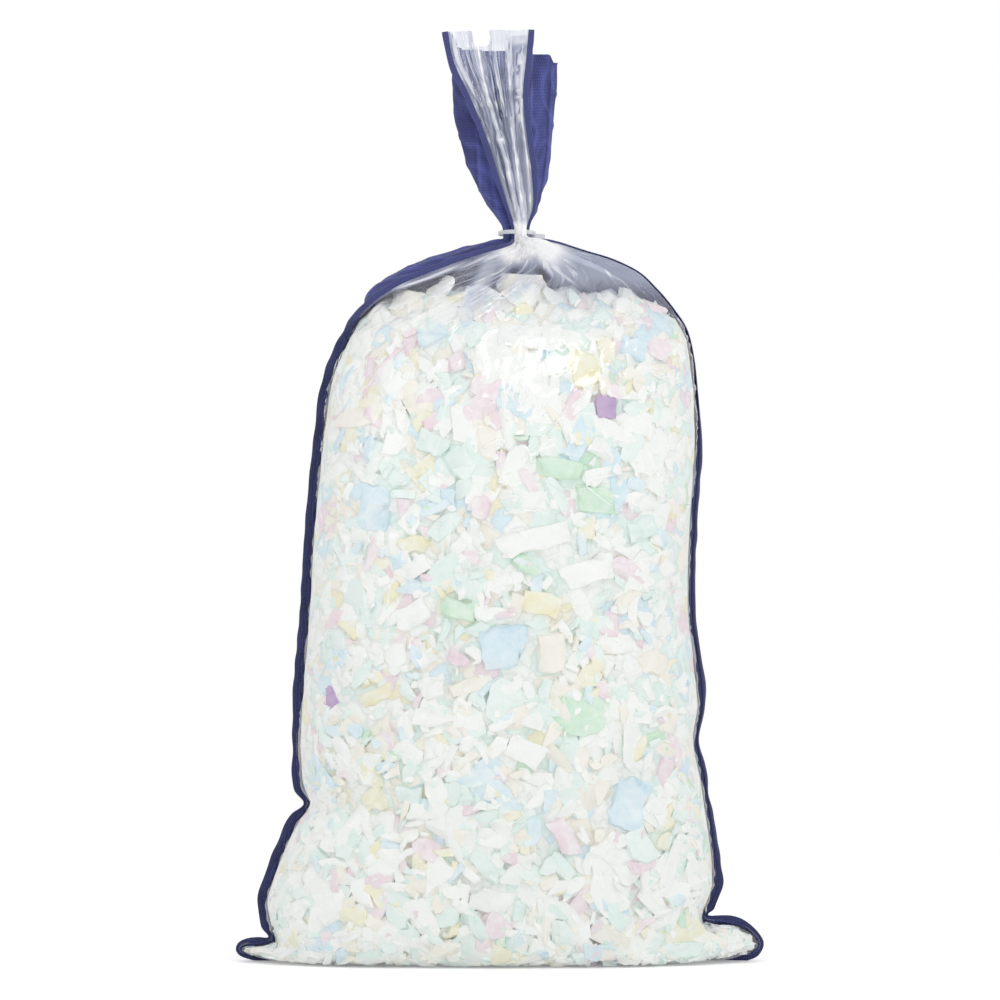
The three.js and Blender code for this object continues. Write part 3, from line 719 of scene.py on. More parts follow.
class BagStage(bpy.types.PropertyGroup):
    """Camera and light."""
    camera_height: bpy.props.FloatProperty(
        name="Camera height", description="Height of the camera above the floor",
        default=0.398, min=0, max=4, unit="LENGTH")
    camera_distance: bpy.props.FloatProperty(
        name="Camera distance", description="Distance from the camera to the bag's seam plane",
        default=4.5, min=1, max=20, unit="LENGTH")
    view_width: bpy.props.FloatProperty(
        name="View width", description="Width of the picture at the bag's seam plane",
        default=0.862, min=0.2, max=5, unit="LENGTH")
    room_light: bpy.props.FloatProperty(
        name="Room light", description="Strength of the light from all round",
        default=0.82, min=0, max=3)
    lamp_light: bpy.props.FloatProperty(
        name="Lamp light", description="Share of the lamps' full power",
        default=1.0, min=0, max=5)


def laid_sheet(columns, front):
    """A gathered sheet: its net in millimetres, the places of its rows, the shares of its columns,
    the share from each point to the nearer side, and the lengths along the sheet in millimetres."""
    share = np.linspace(0, 1, columns)
    at = np.linspace(0, KNOTS[-1], SHEET_ROWS)
    net = smooth_rows(sheet_net(share, front, True), at)
    edge = np.minimum(share, 1 - share)[None, :] * np.ones(net.shape[:2])
    return net, at, share, edge, flat_lengths(net) / MM


def seam_pucker(z, edge, flat, seed, pitch, width):
    """Small waves along the seams, which fade towards the middle of the sheet."""
    return np.sin(z / pitch + 5 * waves(flat[..., 1:], seed, 60)) * np.exp(-(edge / width) ** 2)


def oval(x, z, centre_x, centre_z, long, wide, slope):
    """1 inside an oval at a slope in degrees and 0 outside it, with soft sides."""
    cos, sin = math.cos(math.radians(slope)), math.sin(math.radians(slope))
    along = (x - centre_x) * cos + (z - centre_z) * sin
    aside = (z - centre_z) * cos - (x - centre_x) * sin
    return np.exp(-((along / long) ** 4) - (aside / wide) ** 4)


def drawn_line(points, half, x, z, start, end):
    """Strength of one line of (z, x) points, with soft sides and with steps at its start and end."""
    heights, places = zip(*points)
    line = np.exp(-(((x - np.interp(z, heights, places)) / half) ** 2))
    first, last = heights[0], heights[-1]
    return line * band(z, first + start[0], first + start[1], last + end[0], last + end[1])


def panel_tones(x, z):
    """Painted light on the folds and painted shade in the hollows of the back panel's flare."""
    return sum(tone * drawn_line(points, half, x, z, (-8, 8), (-8, 8)) for points, half, tone in PAINTED_PANEL_FOLDS)


def fold_lines(lines, x, z, widen):
    """Strength of fold lines at places on the film, with their half widths scaled."""
    total = np.zeros_like(x)
    for points, half, milk_and_glint in lines:
        broken = 1 + min(0.3, 0.25 / half) * waves(np.stack((0.3 * x, z), axis=-1), 28, 12)
        line = drawn_line(points, half * widen * broken, x, z, (-6, 8), (-10, 4))
        total = np.maximum(total, milk_and_glint * broken * line)
    return total


def film_milk(net):
    """How milky the gathered film is, with painted highlights along its folds, and how strongly the pulled
    streaks veil it.
    """
    x, _, z = np.moveaxis(net, -1, 0)
    away = np.linalg.norm(net - KNOT, axis=2)
    knot = 0.95 * np.exp(-((away / KNOT_REACH) ** 3))
    knot += 0.34 * smoothstep(x, 26, 50) * smoothstep(z, 560, 590)
    knot += 0.16 * smoothstep(z, 575, 592)
    veil = 0.95 * np.exp(-((away / VEIL_REACH) ** 2.6)) * (0.4 + 0.6 * smoothstep(z, 568, 590))
    for place in CLEAR_PLACES:
        clear = 1 - 0.88 * oval(x, z, *place)
        knot, veil = knot * clear, veil * clear
    for *place, strength in CURTAINS:
        hang = strength * oval(x, z, *place)
        knot, veil = np.maximum(knot, 0.72 * hang), np.maximum(veil, hang)
    # Painted highlights along the fan's folds
    knot = np.maximum(knot, fold_lines(FAN_GLINTS, x, z, 1))
    flare = 0.14 + 0.26 * (1 - smoothstep(z, 655, 745)) + 0.3 * np.exp(-np.abs(z - 631) / 14)
    flare += 0.2 * smoothstep(x, 2, 8) + 0.42 * smoothstep(z, 783, 792)
    crinkles = smoothstep(waves(net[..., (0, 2)], 26, 8), -0.25, 0.3)
    flare += 0.6 * crinkles * oval(x, z, 17, 752, 4.2, 34, 0)
    # Milk with painted highlights along the flare's folds
    flare = np.maximum(flare, fold_lines(FLARE_LINES, x, z, 1))
    below = 1 - smoothstep(z, 628, 640)
    veil = veil * below + 0.8 * (1 - below)
    return np.clip(knot * below + flare * (1 - below), 0, 0.95) + 0.012, veil


def film_net():
    """The film with its gathers, puckers and creases in millimetres, and what its finish reads."""
    net, at, share, edge, flat = laid_sheet(FILM_COLUMNS, True)
    x, y, z = np.moveaxis(net, -1, 0)
    calm = smoothstep(edge, 0, 0.05)
    relief = 0.5 * waves(flat, 21, 34) * calm * smoothstep(z, 6, 30)
    pucker = seam_pucker(z, edge, flat, 22, 2.6, 0.05) * smoothstep(edge, 0, 0.01)
    relief += 0.7 * pucker * band(z, 15, 40, 560, 600)
    ridge = 1 - np.abs(waves(flat * (1.5, 0.7), 23, 34))
    relief += 1.3 * np.clip(ridge - 0.8, 0, None) / 0.2 * smoothstep(z, 360, 470) * calm
    relief += 1.6 * fold_lines(FLARE_LINES, x, z, 2.2) * calm
    net = net + net_normals(net) * relief[..., None]
    bunch = oval(x, z, 20, 629.5, 9.5, 8.5, 0)
    net[..., 1] += bunch * (-18.4 + 0.3 * (y + 8) - y) * (y < 0)
    net[..., 2] = np.maximum(net[..., 2], 0.3)
    # Where painted glint lines are drawn on the body, most towards the right of the middle
    crease = 0.9 * band(z, 300, 430, 545, 575) * (0.25 + 0.75 * np.exp(-(((x - 45) / 70) ** 2)))
    milk_and_glint, veil = film_milk(net)
    looks = {"milk_and_glint": milk_and_glint, "veil": veil, "crease": crease, "across": share[None, :] + 0 * z}
    return with_fins(net, at, -0.35), looks


def back_net():
    """The back panel with its gathers, drape folds and seam puckers in millimetres, and its painted shade
    and light with random tone.
    """
    net, at, _, edge, flat = laid_sheet(BACK_COLUMNS, False)
    z = net[..., 2]
    calm, body = smoothstep(edge, 0, 0.08), band(z, 8, 60, 600, 620)
    relief = 1.8 * waves(flat, 31, 110) * calm * body
    relief += 0.8 * waves(flat * (1, 0.6), 32, 36) * calm * body
    pucker = seam_pucker(z, edge, flat, 33, 3.1, 0.07)
    relief += 1.1 * pucker * smoothstep(edge, 0, 0.012) * body
    gathered = smoothstep(z, 540, 600)
    crease = np.clip(1 - np.abs(waves(flat * (1.3, 0.5), 34, 30)) - 0.6, 0, None) / 0.4
    relief += (crease + 0.4 * waves(flat * (1, 0.4), 35, 17)) * calm * gathered
    net = net - net_normals(net) * relief[..., None]
    net[..., 2] = np.maximum(net[..., 2], 0.4)
    # Random tone, then painted light on the crests and painted shade in the hollows of the gathers, and the
    # painted folds of the flare
    shade_and_tone = 0.16 * waves(flat * (1, 0.45), 36, 70)
    shade_and_tone += gathered * (crease - 0.5 * waves(flat * (1, 0.3), 37, 12))
    shade_and_tone = 0.5 * shade_and_tone + 0.7 * panel_tones(net[..., 0], z)
    return with_fins(net, at, 0.4), over_fins(shade_and_tone)


def binding_tape():
    """One folded tape down the left seam, along the bottom and up the right seam."""
    at = np.linspace(0, KNOTS[-1], TAPE_ROWS)
    turn = np.pi * (1 - np.arange(1, TAPE_FLOOR_ROWS) / TAPE_FLOOR_ROWS)
    low_x, low_z = LEFT_SEAM[0]
    bottom = (
        np.stack((-low_x * np.cos(turn), 0 * turn, 0 * turn + low_z), axis=1),
        np.tile((0.0, 0.0, -1.0), (len(turn), 1)), np.tile((0.0, 1.0, 0.0), (len(turn), 1)),
        np.full(len(turn), float(FIN_WIDTH)),
    )
    root, outward, back, fin = (
        np.concatenate((left[::-1], low, right))
        for left, low, right in zip(dense_frames(True, at), bottom, dense_frames(False, at))
    )
    step = np.linalg.norm(np.diff(root, axis=0), axis=1)
    along = np.concatenate(([0], np.cumsum(step)))
    wander = waves(along[:, None], 41, 45)
    swell = 1 + 0.07 * waves(along[:, None], 42, 28)
    mouth = np.minimum(2, fin / 2)
    net = np.empty((len(root), len(TAPE_PROFILE), 3))
    for index, (out, over) in enumerate(TAPE_PROFILE):
        reach = mouth + (fin * swell + 0.6 - mouth) * out
        lift = over * 1.25 + 0.3 * wander * out
        net[:, index] = root + outward * reach[:, None] + back * lift[:, None]
    across = np.linspace(-7, 7, len(TAPE_PROFILE))
    flat = np.stack(np.broadcast_arrays(across[None, :], along[:, None]), axis=-1) * MM
    piece, row, column = cloth_grid("edge_binding_tape", net, flat)
    # Lighter from 520 mm up into the flare, with random tone
    shade_and_tone = 1.1 * smoothstep(net[..., 2], 520, 600) + 0.12 * waves(net, 43, 30)
    point_values(piece, "shade_and_tone", shade_and_tone[row, column])
    select_only(piece)
    apply_modifier(piece, "SOLIDIFY", thickness=0.5 * MM, offset=0)
    edit_all()
    close_edit()
    return piece


class FOAMBAG_OT_front_film(bpy.types.Operator):
    """Make the clear front film, gathered at the neck and open above the tie"""
    bl_idname = "foambag.front_film"
    bl_label = "Front film"

    def execute(self, context):
        net, looks = film_net()
        piece, row, column = cloth_grid("front_film_sheet", net, flat_lengths(net))
        for name, values in looks.items():
            point_values(piece, name, over_fins(values)[row, column])
        finish_piece(piece, film_material(context.scene.bag_look), ["front_film"])
        return {"FINISHED"}


class FOAMBAG_OT_back_panel(bpy.types.Operator):
    """Make the blue non-woven back panel and the folded binding along its edges"""
    bl_idname = "foambag.back_panel"
    bl_label = "Back panel and binding"

    def execute(self, context):
        look = context.scene.bag_look
        net, shade_and_tone = (part[:, ::-1] for part in back_net())
        piece, row, column = cloth_grid("back_panel_cloth", net, flat_lengths(net))
        point_values(piece, "shade_and_tone", shade_and_tone[row, column])
        cloth = cloth_material("nonwoven_cloth", tuple(look.cloth_colour), look)
        finish_piece(piece, cloth, ["back_panel"])
        tape = binding_tape()
        taped = cloth_material("binding_cloth", tuple(look.tape_colour), look)
        finish_piece(tape, taped, ["edge_binding"])
        return {"FINISHED"}


class FOAMBAG_OT_neck_tie(bpy.types.Operator):
    """Make the plastic tie round the neck, with its locking head and short tail"""
    bl_idname = "foambag.neck_tie"
    bl_label = "Neck tie"

    def execute(self, context):
        depth, width, height = (size * MM for size in TIE_HEAD)
        inner = TIE_RADIUS * MM
        strap = self.strap()
        head = self.block((inner + 0.2 * MM + depth / 2, 0, 0), (depth, width, height))
        self.sink_slot(head)
        tail = self.block(
            (inner + depth - 2 * MM + TIE_TAIL / 2 * MM, 1.2 * MM, 0),
            (TIE_TAIL * MM, TIE_THICKNESS * MM, TIE_WIDTH * MM))
        select_only(strap)
        head.select_set(True)
        tail.select_set(True)
        bpy.ops.object.join()
        strap.name = strap.data.name = "neck_tie_strap"
        apply_modifier(strap, "BEVEL", width=0.3 * MM, segments=2, limit_method="ANGLE")
        strap.rotation_mode = "ZYX"
        strap.rotation_euler = (math.radians(TIE_TILT), 0, math.radians(TIE_TURN))
        strap.location = (TIE_X * MM, 0, TIE_Z * MM)
        bpy.ops.object.transform_apply()
        bpy.ops.object.shade_smooth_by_angle(angle=math.radians(40))
        finish_piece(strap, tie_material(context.scene.bag_look), ["neck_tie"])
        return {"FINISHED"}

    def strap(self):
        deselect()
        bpy.ops.mesh.primitive_circle_add(
            vertices=72, radius=(TIE_RADIUS + TIE_THICKNESS / 2) * MM, location=(0, 0, -TIE_WIDTH / 2 * MM))
        strap = bpy.context.object
        bpy.ops.object.transform_apply()
        edit_all()
        bpy.ops.mesh.extrude_region_move(TRANSFORM_OT_translate={"value": (0, 0, TIE_WIDTH * MM)})
        close_edit()
        apply_modifier(strap, "SOLIDIFY", thickness=TIE_THICKNESS * MM, offset=0)
        return strap

    def block(self, place, size):
        bpy.ops.mesh.primitive_cube_add(size=1, location=place, scale=size)
        bpy.ops.object.transform_apply()
        return bpy.context.object

    def sink_slot(self, head):
        """Press a slot into the outer face of the locking head."""
        bpy.ops.object.mode_set(mode="EDIT")
        bpy.ops.mesh.select_all(action="DESELECT")
        bpy.ops.object.mode_set(mode="OBJECT")
        for face in head.data.polygons:
            face.select = face.normal.x > 0.9
        bpy.ops.object.mode_set(mode="EDIT")
        bpy.ops.mesh.select_mode(type="FACE")
        bpy.ops.mesh.inset(thickness=1.3 * MM)
        bpy.ops.mesh.extrude_region_move(TRANSFORM_OT_translate={"value": (-1.4 * MM, 0, 0)})
        bpy.ops.object.mode_set(mode="OBJECT")


def flake_form(rng):
    """One torn flake, cut from a cube and worn soft, as corners in a unit box and faces."""
    deselect()
    bpy.ops.mesh.primitive_cube_add(size=1)
    flake = bpy.context.object
    bpy.ops.object.mode_set(mode="EDIT")
    for _ in range(int(rng.integers(4, 7))):
        way = unit(rng.normal(size=3) * (1, 1, 0.6))
        cut_off(way * rng.uniform(0.28, 0.5), way)
    split_faces(0.06, 1)
    bpy.ops.mesh.vertices_smooth(factor=0.3, repeat=1)
    close_edit()
    corners = mesh_points(flake)
    low, high = corners.min(axis=0), corners.max(axis=0)
    corners = (corners - (low + high) / 2) / (high - low)
    move_points(flake, corners + rng.normal(size=corners.shape) * 0.03)
    apply_modifier(flake, "DECIMATE", ratio=min(1, FLAKE_FACES / len(flake.data.polygons)))
    corners = mesh_points(flake)
    faces = np.array([tuple(f.vertices) for f in flake.data.polygons])
    bpy.data.objects.remove(flake)
    return corners, faces


def bag_walls():
    """The plain film and the folded back panel as search trees with outward faces, in metres."""
    film = smooth_rows(sheet_net(np.linspace(0, 1, 61), True, False), np.linspace(0, KNOTS[-1], 181))
    back = back_net()[0][:, 2:-2]
    trees = []
    for net in (film * MM, back[:, ::-1] * MM):
        high, wide = net.shape[:2]
        first = np.arange(high - 1)[:, None] * wide + np.arange(wide - 1)
        faces = np.stack((first, first + 1, first + wide + 1, first + wide), axis=-1)
        trees.append(BVHTree.FromPolygons(net.reshape(-1, 3).tolist(), faces.reshape(-1, 4).tolist()))
    return trees


def beyond_wall(wall, corners, gap):
    """How far each corner reaches past a gap behind a wall, and the wall's ways there."""
    past, ways = np.empty(len(corners)), np.empty_like(corners)
    for index, corner in enumerate(corners):
        place, normal, _, _ = wall.find_nearest(Vector(corner))
        away = Vector(corner) - place
        beside = abs(away.dot(normal)) < 0.6 * away.length
        past[index] = -1 if beside else away.dot(normal) + gap
        ways[index] = normal
    return past, ways


def held_inside(walls, own, corners, inward, gap):
    """A flake moved in from its own wall, with its last corners pressed flat behind both walls."""
    past, _ = beyond_wall(own, corners, gap)
    corners = corners + inward * max(0, past.max()) * 0.7
    for wall in walls:
        past, ways = beyond_wall(wall, corners, gap)
        corners = corners - ways * np.maximum(past, 0)[:, None]
    return corners


def pokes_out(wall, points):
    """Whether a point lies outside a wall, so that the line from it to the bag's axis crosses the wall."""
    for point in map(Vector, points):
        way = Vector((TIE_X * MM, 0, point.z)) - point
        if wall.ray_cast(point, way, way.length)[0] is not None:
            return True
    return False


def wall_places(rng, count, front, top):
    """Random places on the film, or on the back panel near its seams, below a height and evenly by area.

    Gives the points, their outward ways and ways across, in metres."""
    share = np.linspace(0, 1, 101)
    net = smooth_rows(sheet_net(share, front, False), np.linspace(0, KNOTS[-1], 241)) * MM
    normal = net_normals(net) * (1 if front else -1)
    across = unit(np.gradient(net, axis=1))
    cell = np.linalg.norm(np.cross(np.gradient(net, axis=0), np.gradient(net, axis=1)), axis=2)
    cell *= net[..., 2] < top
    if not front:
        cell *= np.minimum(share, 1 - share)[None, :] < 0.2
    cell[:4] = 0
    pick = rng.choice(cell.size, size=count, p=(cell / cell.sum()).ravel())
    row, column = np.unravel_index(pick, cell.shape)
    return net[row, column], normal[row, column], across[row, column]


def named_flakes():
    """Middle and half size of each flake that is a piece of its own."""
    places = []
    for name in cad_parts:
        if name.startswith("flake_") and name != "flake_heap":
            low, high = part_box(name)
            places.append(((low + high) / 2, (high - low) / 2))
    return places


def flake_size(rng, fill, share, place):
    """Length, width and thickness of a loose flake, longer near the top and small in the ears."""
    length = fill.flake_length * share * float(np.clip(rng.lognormal(0, 0.42), 0.28, 2.6))
    length *= 0.92 + 0.58 * smoothstep(place[2], *HIGH_FILL)
    width = length * rng.uniform(0.3, 0.82)
    thick = min(width, 16 * MM) * rng.uniform(0.4, 0.8)
    if abs(place[0]) > EAR_X * MM and place[2] < EAR_TOP * MM:
        return tuple(min(size, most * MM) for size, most in zip((length, width, thick), EAR_FLAKE))
    return length, width, thick


def above_fill(place, reach, front):
    """Whether a flake would rise above the fill, or into a hollow at its front."""
    x, rim = place[0] / MM, (place[2] + 0.45 * reach) / MM
    top = FILL_TOP + PEAK_RISE * math.exp(-(((x - PEAK_X) / PEAK_WIDTH) ** 2))
    hollow = front and any(
        abs(x - middle) < wide + 0.4 * reach / MM and rim > floor for middle, wide, floor in HOLLOWS)
    return hollow or rim > top - SHOULDER_DROP * smoothstep(abs(x), 40, 95)


def flake_ways(rng, normal, across, spread):
    """Ways along, across and through a flake, turned at random and tilted by a spread in degrees."""
    spin = rng.uniform(0, 2 * math.pi)
    tilt = np.radians(np.clip(rng.normal(0, spread, 2), -45, 45))
    first = across * math.cos(spin) + np.cross(normal, across) * math.sin(spin)
    second = np.cross(normal, first)
    first = unit(first + normal * math.tan(tilt[0]))
    second = unit(second - first * (second @ first) + normal * math.tan(tilt[1]))
    second = unit(second - first * (second @ first))
    return first, second, np.cross(first, second)


def flake_colour(rng, depth, place):
    """Colour of a loose flake: more mint deeper in as painted shade, pink near the top and only pale ones in
    the corners.
    """
    chance = {colour: share for colour, (_, _, share) in FOAM.items()}
    high = smoothstep(place[2], *HIGH_FILL)
    # More mint flakes in deeper layers, as painted shade in the gaps
    chance["mint"] *= (1 + 0.2 * depth) * (1 - 0.55 * high)
    chance["pink"] *= 1 + 0.8 * high
    chance["cream"] *= 1 + 0.4 * high
    chance["blue"] *= 1 - 0.5 * high
    if abs(place[0]) > PALE_X:
        chance = {colour: chance[colour] for colour in ("white", "mint", "cream")}
    weights = np.array(list(chance.values()))
    return str(rng.choice(list(chance), p=weights / weights.sum()))


class FOAMBAG_OT_loose_flakes(bpy.types.Operator):
    """Pack loose foam flakes of every colour behind the film, in front of a pale core"""
    bl_idname = "foambag.loose_flakes"
    bl_label = "Loose flakes"

    def execute(self, context):
        fill = context.scene.bag_fill
        rng = np.random.default_rng(fill.seed)
        forms = [flake_form(rng) for _ in range(FLAKE_FORMS)]
        walls, named = bag_walls(), named_flakes()
        gathered = {colour: ([], [], []) for colour in FOAM}
        for near, far, count, size, front in LAYERS:
            top = (FILL_TOP + PEAK_RISE if front else BACK_TOP) * MM
            places = wall_places(rng, int(fill.flakes_per_layer * count), front, top)
            taken, sizes = np.empty((0, 3)), np.empty(0)
            for place, normal, across in zip(*places):
                length, width, thick = flake_size(rng, fill, size, place)
                reach = (length + width) / 4
                if len(taken) and (np.linalg.norm(taken - place, axis=1) < 0.5 * (sizes + reach)).any():
                    continue
                behind = front and any(
                    abs(place[0] - centre.x) < half.x * 0.85 + reach * 0.6
                    and abs(place[2] - centre.z) < half.z * 0.85 + reach * 0.6
                    for centre, half in named
                )
                if near < 1 and behind or above_fill(place, reach, front):
                    continue
                taken, sizes = np.vstack((taken, place)), np.append(sizes, reach)
                corners, faces = forms[rng.integers(len(forms))]
                low = 1 - smoothstep(place[2], *LOW_FILL)
                ways = flake_ways(rng, normal, across, (15 + near) * (1 - 0.5 * low))
                close = 0.4 + 0.6 * float(smoothstep(place[2], *FLOOR_FILL))
                depth = fill.film_gap * close + thick / 2 + rng.uniform(near, far) * MM
                local = corners * (length, width, thick)
                local[:, 2] += rng.normal(0, 0.22) * (local[:, 0] ** 2 / length - length / 12)
                local[:, 1] += rng.normal(0, 0.3) * local[:, 0] ** 2 / length
                spots = place - normal * depth + local @ np.array(ways)
                gap = fill.film_gap * close + (rng.uniform(0, 3 - 1.8 * low) + near * 0.8) * close * MM
                gap += NAMED_GAP * MM * behind
                spots = held_inside(walls, walls[not front], spots, -normal, gap)
                if pokes_out(walls[1], spots):
                    continue
                points, shells, shaded_tints = gathered[flake_colour(rng, near, place)]
                # A random tint, painted shade from one end of the flake to the other, and a little deeper
                # colour in deeper layers as painted shade
                tint_and_shade = 0.38 * rng.uniform() ** 2 + rng.normal(0, 0.26) * corners[:, 0] + near * 0.015
                centres = spots[faces].mean(axis=1)
                if pokes_out(walls[0], centres[centres[:, 2] > UNDERSIDE * MM]):
                    continue
                shells.append(faces + sum(map(len, points)))
                points.append(spots)
                shaded_tints.append(tint_and_shade)
        for colour, lists in gathered.items():
            if lists[0]:
                self.piece(colour, *map(np.concatenate, lists))
        return {"FINISHED"}

    def piece(self, colour, points, faces, shaded_tints):
        name = f"loose_flakes_{colour}"
        mesh = bpy.data.meshes.new(name)
        mesh.from_pydata(points.tolist(), [], faces.tolist())
        piece = new_object(name, mesh)
        point_values(piece, "tint_and_shade", shaded_tints)
        select_only(piece)
        bpy.ops.object.shade_smooth_by_angle(angle=math.radians(42))
        finish_piece(piece, foam_material(colour), ["flake_heap"])


def fill_section(z):
    """Left, right and half depth of the bag at a height within the fill, in millimetres."""
    rows = slice(FLOOR_ROWS - 1, FLOOR_ROWS + 22)
    heights = (("left_z", "left"), ("right_z", "right"), ("z", "depth"))
    return [np.interp(z, ROWS[height][rows], ROWS[value][rows]) for height, value in heights]


class FOAMBAG_OT_fill_core(bpy.types.Operator):
    """Make the body of the fill behind the loose flakes"""
    bl_idname = "foambag.fill_core"
    bl_label = "Fill core"

    def execute(self, context):
        deselect()
        bpy.ops.mesh.primitive_uv_sphere_add(segments=128, ring_count=96, radius=1)
        core = bpy.context.object
        core.name = core.data.name = "fill_core"
        points = mesh_points(core)
        z = CORE_LOW + (CORE_TOP - CORE_LOW) * (points[:, 2] + 1) / 2
        spread = np.minimum(1, np.hypot(points[:, 0], points[:, 1]) * 3) ** 0.4
        angle = np.arctan2(points[:, 1], points[:, 0])
        left, right, depth = fill_section(np.clip(z, 25, 570))
        left, right, depth = left + CORE_SIDE_GAP, right - CORE_SIDE_GAP, depth - CORE_FRONT_GAP
        along = np.sin(angle)
        x = (left + right) / 2 + (right - left) / 2 * np.cos(angle) * spread
        y = depth * np.sign(along) * np.abs(along) ** 0.86 * spread
        lumps = (0.4 + 2.4 * np.abs(along)) * waves(np.stack((x, y, z), axis=1), 51, 24)
        for middle, wide, floor in HOLLOWS:
            z -= np.exp(-(((x - middle) / wide) ** 4)) * np.clip(z - floor, 0, None) * smoothstep(-y, 0, 20)
        points = np.stack((x, y, z), axis=1) + unit(np.stack((x, y, 0 * z), axis=1)) * lumps[:, None]
        points[:, 2] += 7 * waves(points[:, :2], 52, 26) * smoothstep(z, 540, 570)
        points *= MM
        for wall in bag_walls():
            past, ways = beyond_wall(wall, points, 2 * MM)
            past += 4 * MM * smoothstep(y, -4, 16)
            points -= ways * np.maximum(past, 0)[:, None]
        move_points(core, points)
        bpy.ops.object.shade_smooth()
        finish_piece(core, core_material(), ["flake_heap"])
        return {"FINISHED"}


class FOAMBAG_OT_large_flakes(bpy.types.Operator):
    """Shape the larger and coloured flakes that can be told apart"""
    bl_idname = "foambag.large_flakes"
    bl_label = "Large flakes"

    def execute(self, context):
        rng = np.random.default_rng(context.scene.bag_fill.seed + 1)
        for name in sorted(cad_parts):
            colour = name.split("_")[1]
            if not name.startswith("flake_") or colour == "heap":
                continue
            piece = new_object(f"{name}_foam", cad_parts[name].data.copy())
            piece.data.name = piece.name
            select_only(piece)
            edit_all()
            bpy.ops.mesh.remove_doubles(threshold=1e-5)
            bpy.ops.mesh.dissolve_limited(angle_limit=math.radians(9))
            low, high = map(np.array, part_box(name))
            for _ in range(6):
                way = unit(rng.normal(size=3) * (1, 0.5, 1))
                reach = np.abs(way * (high - low) / 2).sum() * rng.uniform(0.56, 0.8)
                cut_off((low + high) / 2 + way * reach, way)
            bpy.ops.mesh.select_all(action="SELECT")
            bpy.ops.mesh.remove_doubles(threshold=8e-4)
            bpy.ops.mesh.bevel(offset=0.8 * MM, segments=2, affect="EDGES", clamp_overlap=True)
            split_faces(5e-5, 2)
            close_edit()
            points = mesh_points(piece)
            moves = self.wobble(rng, points, 15 * MM)
            points += (moves + (0, 0.6, 0)) * (1.7 * MM, 1.2 * MM, 1.7 * MM)
            points += 0.5 * MM * self.wobble(rng, points, 5 * MM)
            move_points(piece, points)
            # A random tint that varies across the flake with its wobble
            point_values(piece, "tint_and_shade", rng.uniform(0.02, 0.3) + 0.3 * moves[:, 0])
            bpy.ops.object.shade_smooth_by_angle(angle=math.radians(50))
            material = bpy.data.materials.get(f"torn_{colour}") or foam_material(colour)
            finish_piece(piece, material, [name])
        return {"FINISHED"}

    def wobble(self, rng, points, length):
        return np.stack([waves(points, int(rng.integers(1e6)), length) for _ in range(3)], axis=1)


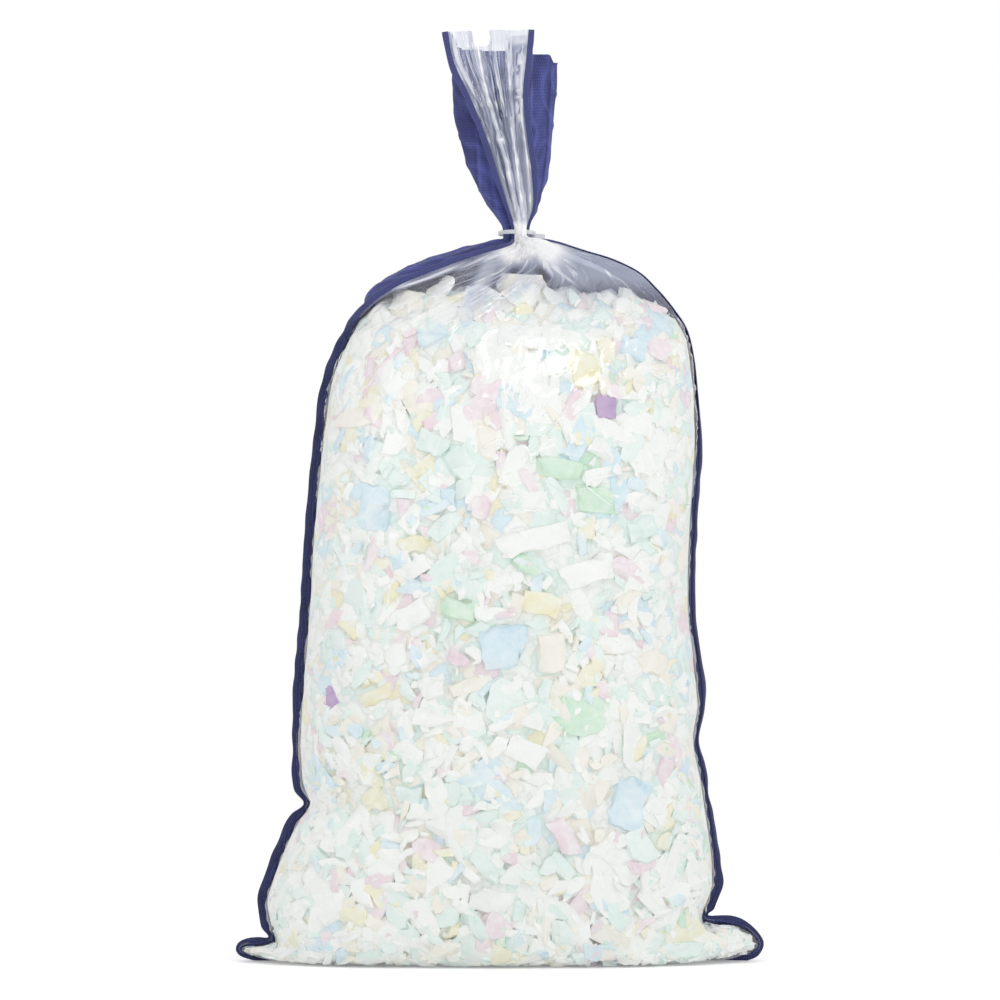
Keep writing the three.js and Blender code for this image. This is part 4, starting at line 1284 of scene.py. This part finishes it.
class FOAMBAG_OT_stage(bpy.types.Operator):
    """Set the pale floor, the soft studio light and the camera"""
    bl_idname = "foambag.stage"
    bl_label = "Stage"

    def execute(self, context):
        setup = context.scene.bag_stage
        scene = context.scene
        scene.view_settings.view_transform = "Standard"
        scene.cycles.diffuse_bounces = 12
        scene.cycles.transparent_max_bounces = 16
        camera = new_object("camera", bpy.data.cameras.new("camera"))
        camera.location = (0, -setup.camera_distance, setup.camera_height)
        camera.rotation_euler = (math.pi / 2, 0, 0)
        camera.data.sensor_width = SENSOR_WIDTH
        camera.data.lens = SENSOR_WIDTH * setup.camera_distance / setup.view_width
        scene.camera = camera
        self.floor()
        self.world(scene, setup)
        for name, place, (wide, tall), power, mirrored in LAMPS:
            lamp = new_object(name, bpy.data.lights.new(name, "AREA"))
            lamp.location = place
            lamp.rotation_euler = (Vector(LAMP_AIM) - Vector(place)).to_track_quat("-Z", "Y").to_euler()
            lamp.data.shape = "RECTANGLE"
            lamp.data.size, lamp.data.size_y = wide, tall
            lamp.data.energy = power * setup.lamp_light
            lamp.visible_camera = False
            lamp.visible_glossy = mirrored
        return {"FINISHED"}

    def floor(self):
        """A pale floor that keeps the bag's shadow and turns plain white further away."""
        deselect()
        bpy.ops.mesh.primitive_circle_add(vertices=96, radius=FLOOR_RADIUS, fill_type="NGON")
        floor = bpy.context.object
        floor.name = floor.data.name = "floor"
        material, tree = new_material("floor_white")
        paint = add_node(tree, "BsdfDiffuse", {"Color": (0.9, 0.9, 0.9, 1)})
        bright = math_node(tree, "MULTIPLY", seen_directly(tree), 0.3)
        glow = add_node(tree, "Emission", {"Color": WHITE, "Strength": bright})
        both = add_node(tree, "AddShader", {0: paint.outputs[0], 1: glow.outputs[0]})
        far = add_node(tree, "Emission", {"Color": WHITE, "Strength": 1})
        place = add_node(tree, "TexCoord").outputs["Object"]
        away = add_node(tree, "VectorMath", {0: place}, operation="LENGTH").outputs["Value"]
        show(tree, mix_shaders(tree, map_range(tree, away, *FLOOR_FADE), both, far))
        floor.data.materials.append(material)

    def world(self, scene, setup):
        """Light from all round, which is plain white where it is seen directly."""
        world = bpy.data.worlds.new("studio")
        scene.world = world
        world.use_nodes = True
        tree = world.node_tree
        tree.nodes.clear()
        room = setup.room_light
        level = math_node(tree, "MULTIPLY_ADD", seen_directly(tree), 1 - room, room)
        sky = add_node(tree, "Background", {"Color": WHITE, "Strength": level})
        add_node(tree, "OutputWorld", {"Surface": sky.outputs[0]})


class FOAMBAG_PT_sidebar(bpy.types.Panel):
    """Lists the steps that build the bag"""
    bl_label = "Foam Bag"
    bl_idname = "FOAMBAG_PT_sidebar"
    bl_space_type = "VIEW_3D"
    bl_region_type = "UI"
    bl_category = "Foam Bag"

    def draw(self, context):
        for step in STEPS:
            self.layout.operator(step.bl_idname)
        for group in (context.scene.bag_look, context.scene.bag_fill, context.scene.bag_stage):
            column = self.layout.column()
            for name in group.__annotations__:
                column.prop(group, name)


STEPS = (
    FOAMBAG_OT_stage,
    FOAMBAG_OT_front_film,
    FOAMBAG_OT_back_panel,
    FOAMBAG_OT_neck_tie,
    FOAMBAG_OT_fill_core,
    FOAMBAG_OT_loose_flakes,
    FOAMBAG_OT_large_flakes,
)
CLASSES = (BagLook, BagFill, BagStage, *STEPS, FOAMBAG_PT_sidebar)


def register():
    for cls in CLASSES:
        bpy.utils.register_class(cls)
    bpy.types.Scene.bag_look = bpy.props.PointerProperty(type=BagLook)
    bpy.types.Scene.bag_fill = bpy.props.PointerProperty(type=BagFill)
    bpy.types.Scene.bag_stage = bpy.props.PointerProperty(type=BagStage)


def unregister():
    for name in ("bag_look", "bag_fill", "bag_stage"):
        delattr(bpy.types.Scene, name)
    for cls in reversed(CLASSES):
        bpy.utils.unregister_class(cls)


def main():
    register()
    bpy.ops.foambag.stage()
    bpy.ops.foambag.front_film()
    bpy.ops.foambag.back_panel()
    bpy.ops.foambag.neck_tie()
    bpy.ops.foambag.fill_core()
    bpy.ops.foambag.loose_flakes()
    bpy.ops.foambag.large_flakes()


if __name__ == "__main__":
    main()
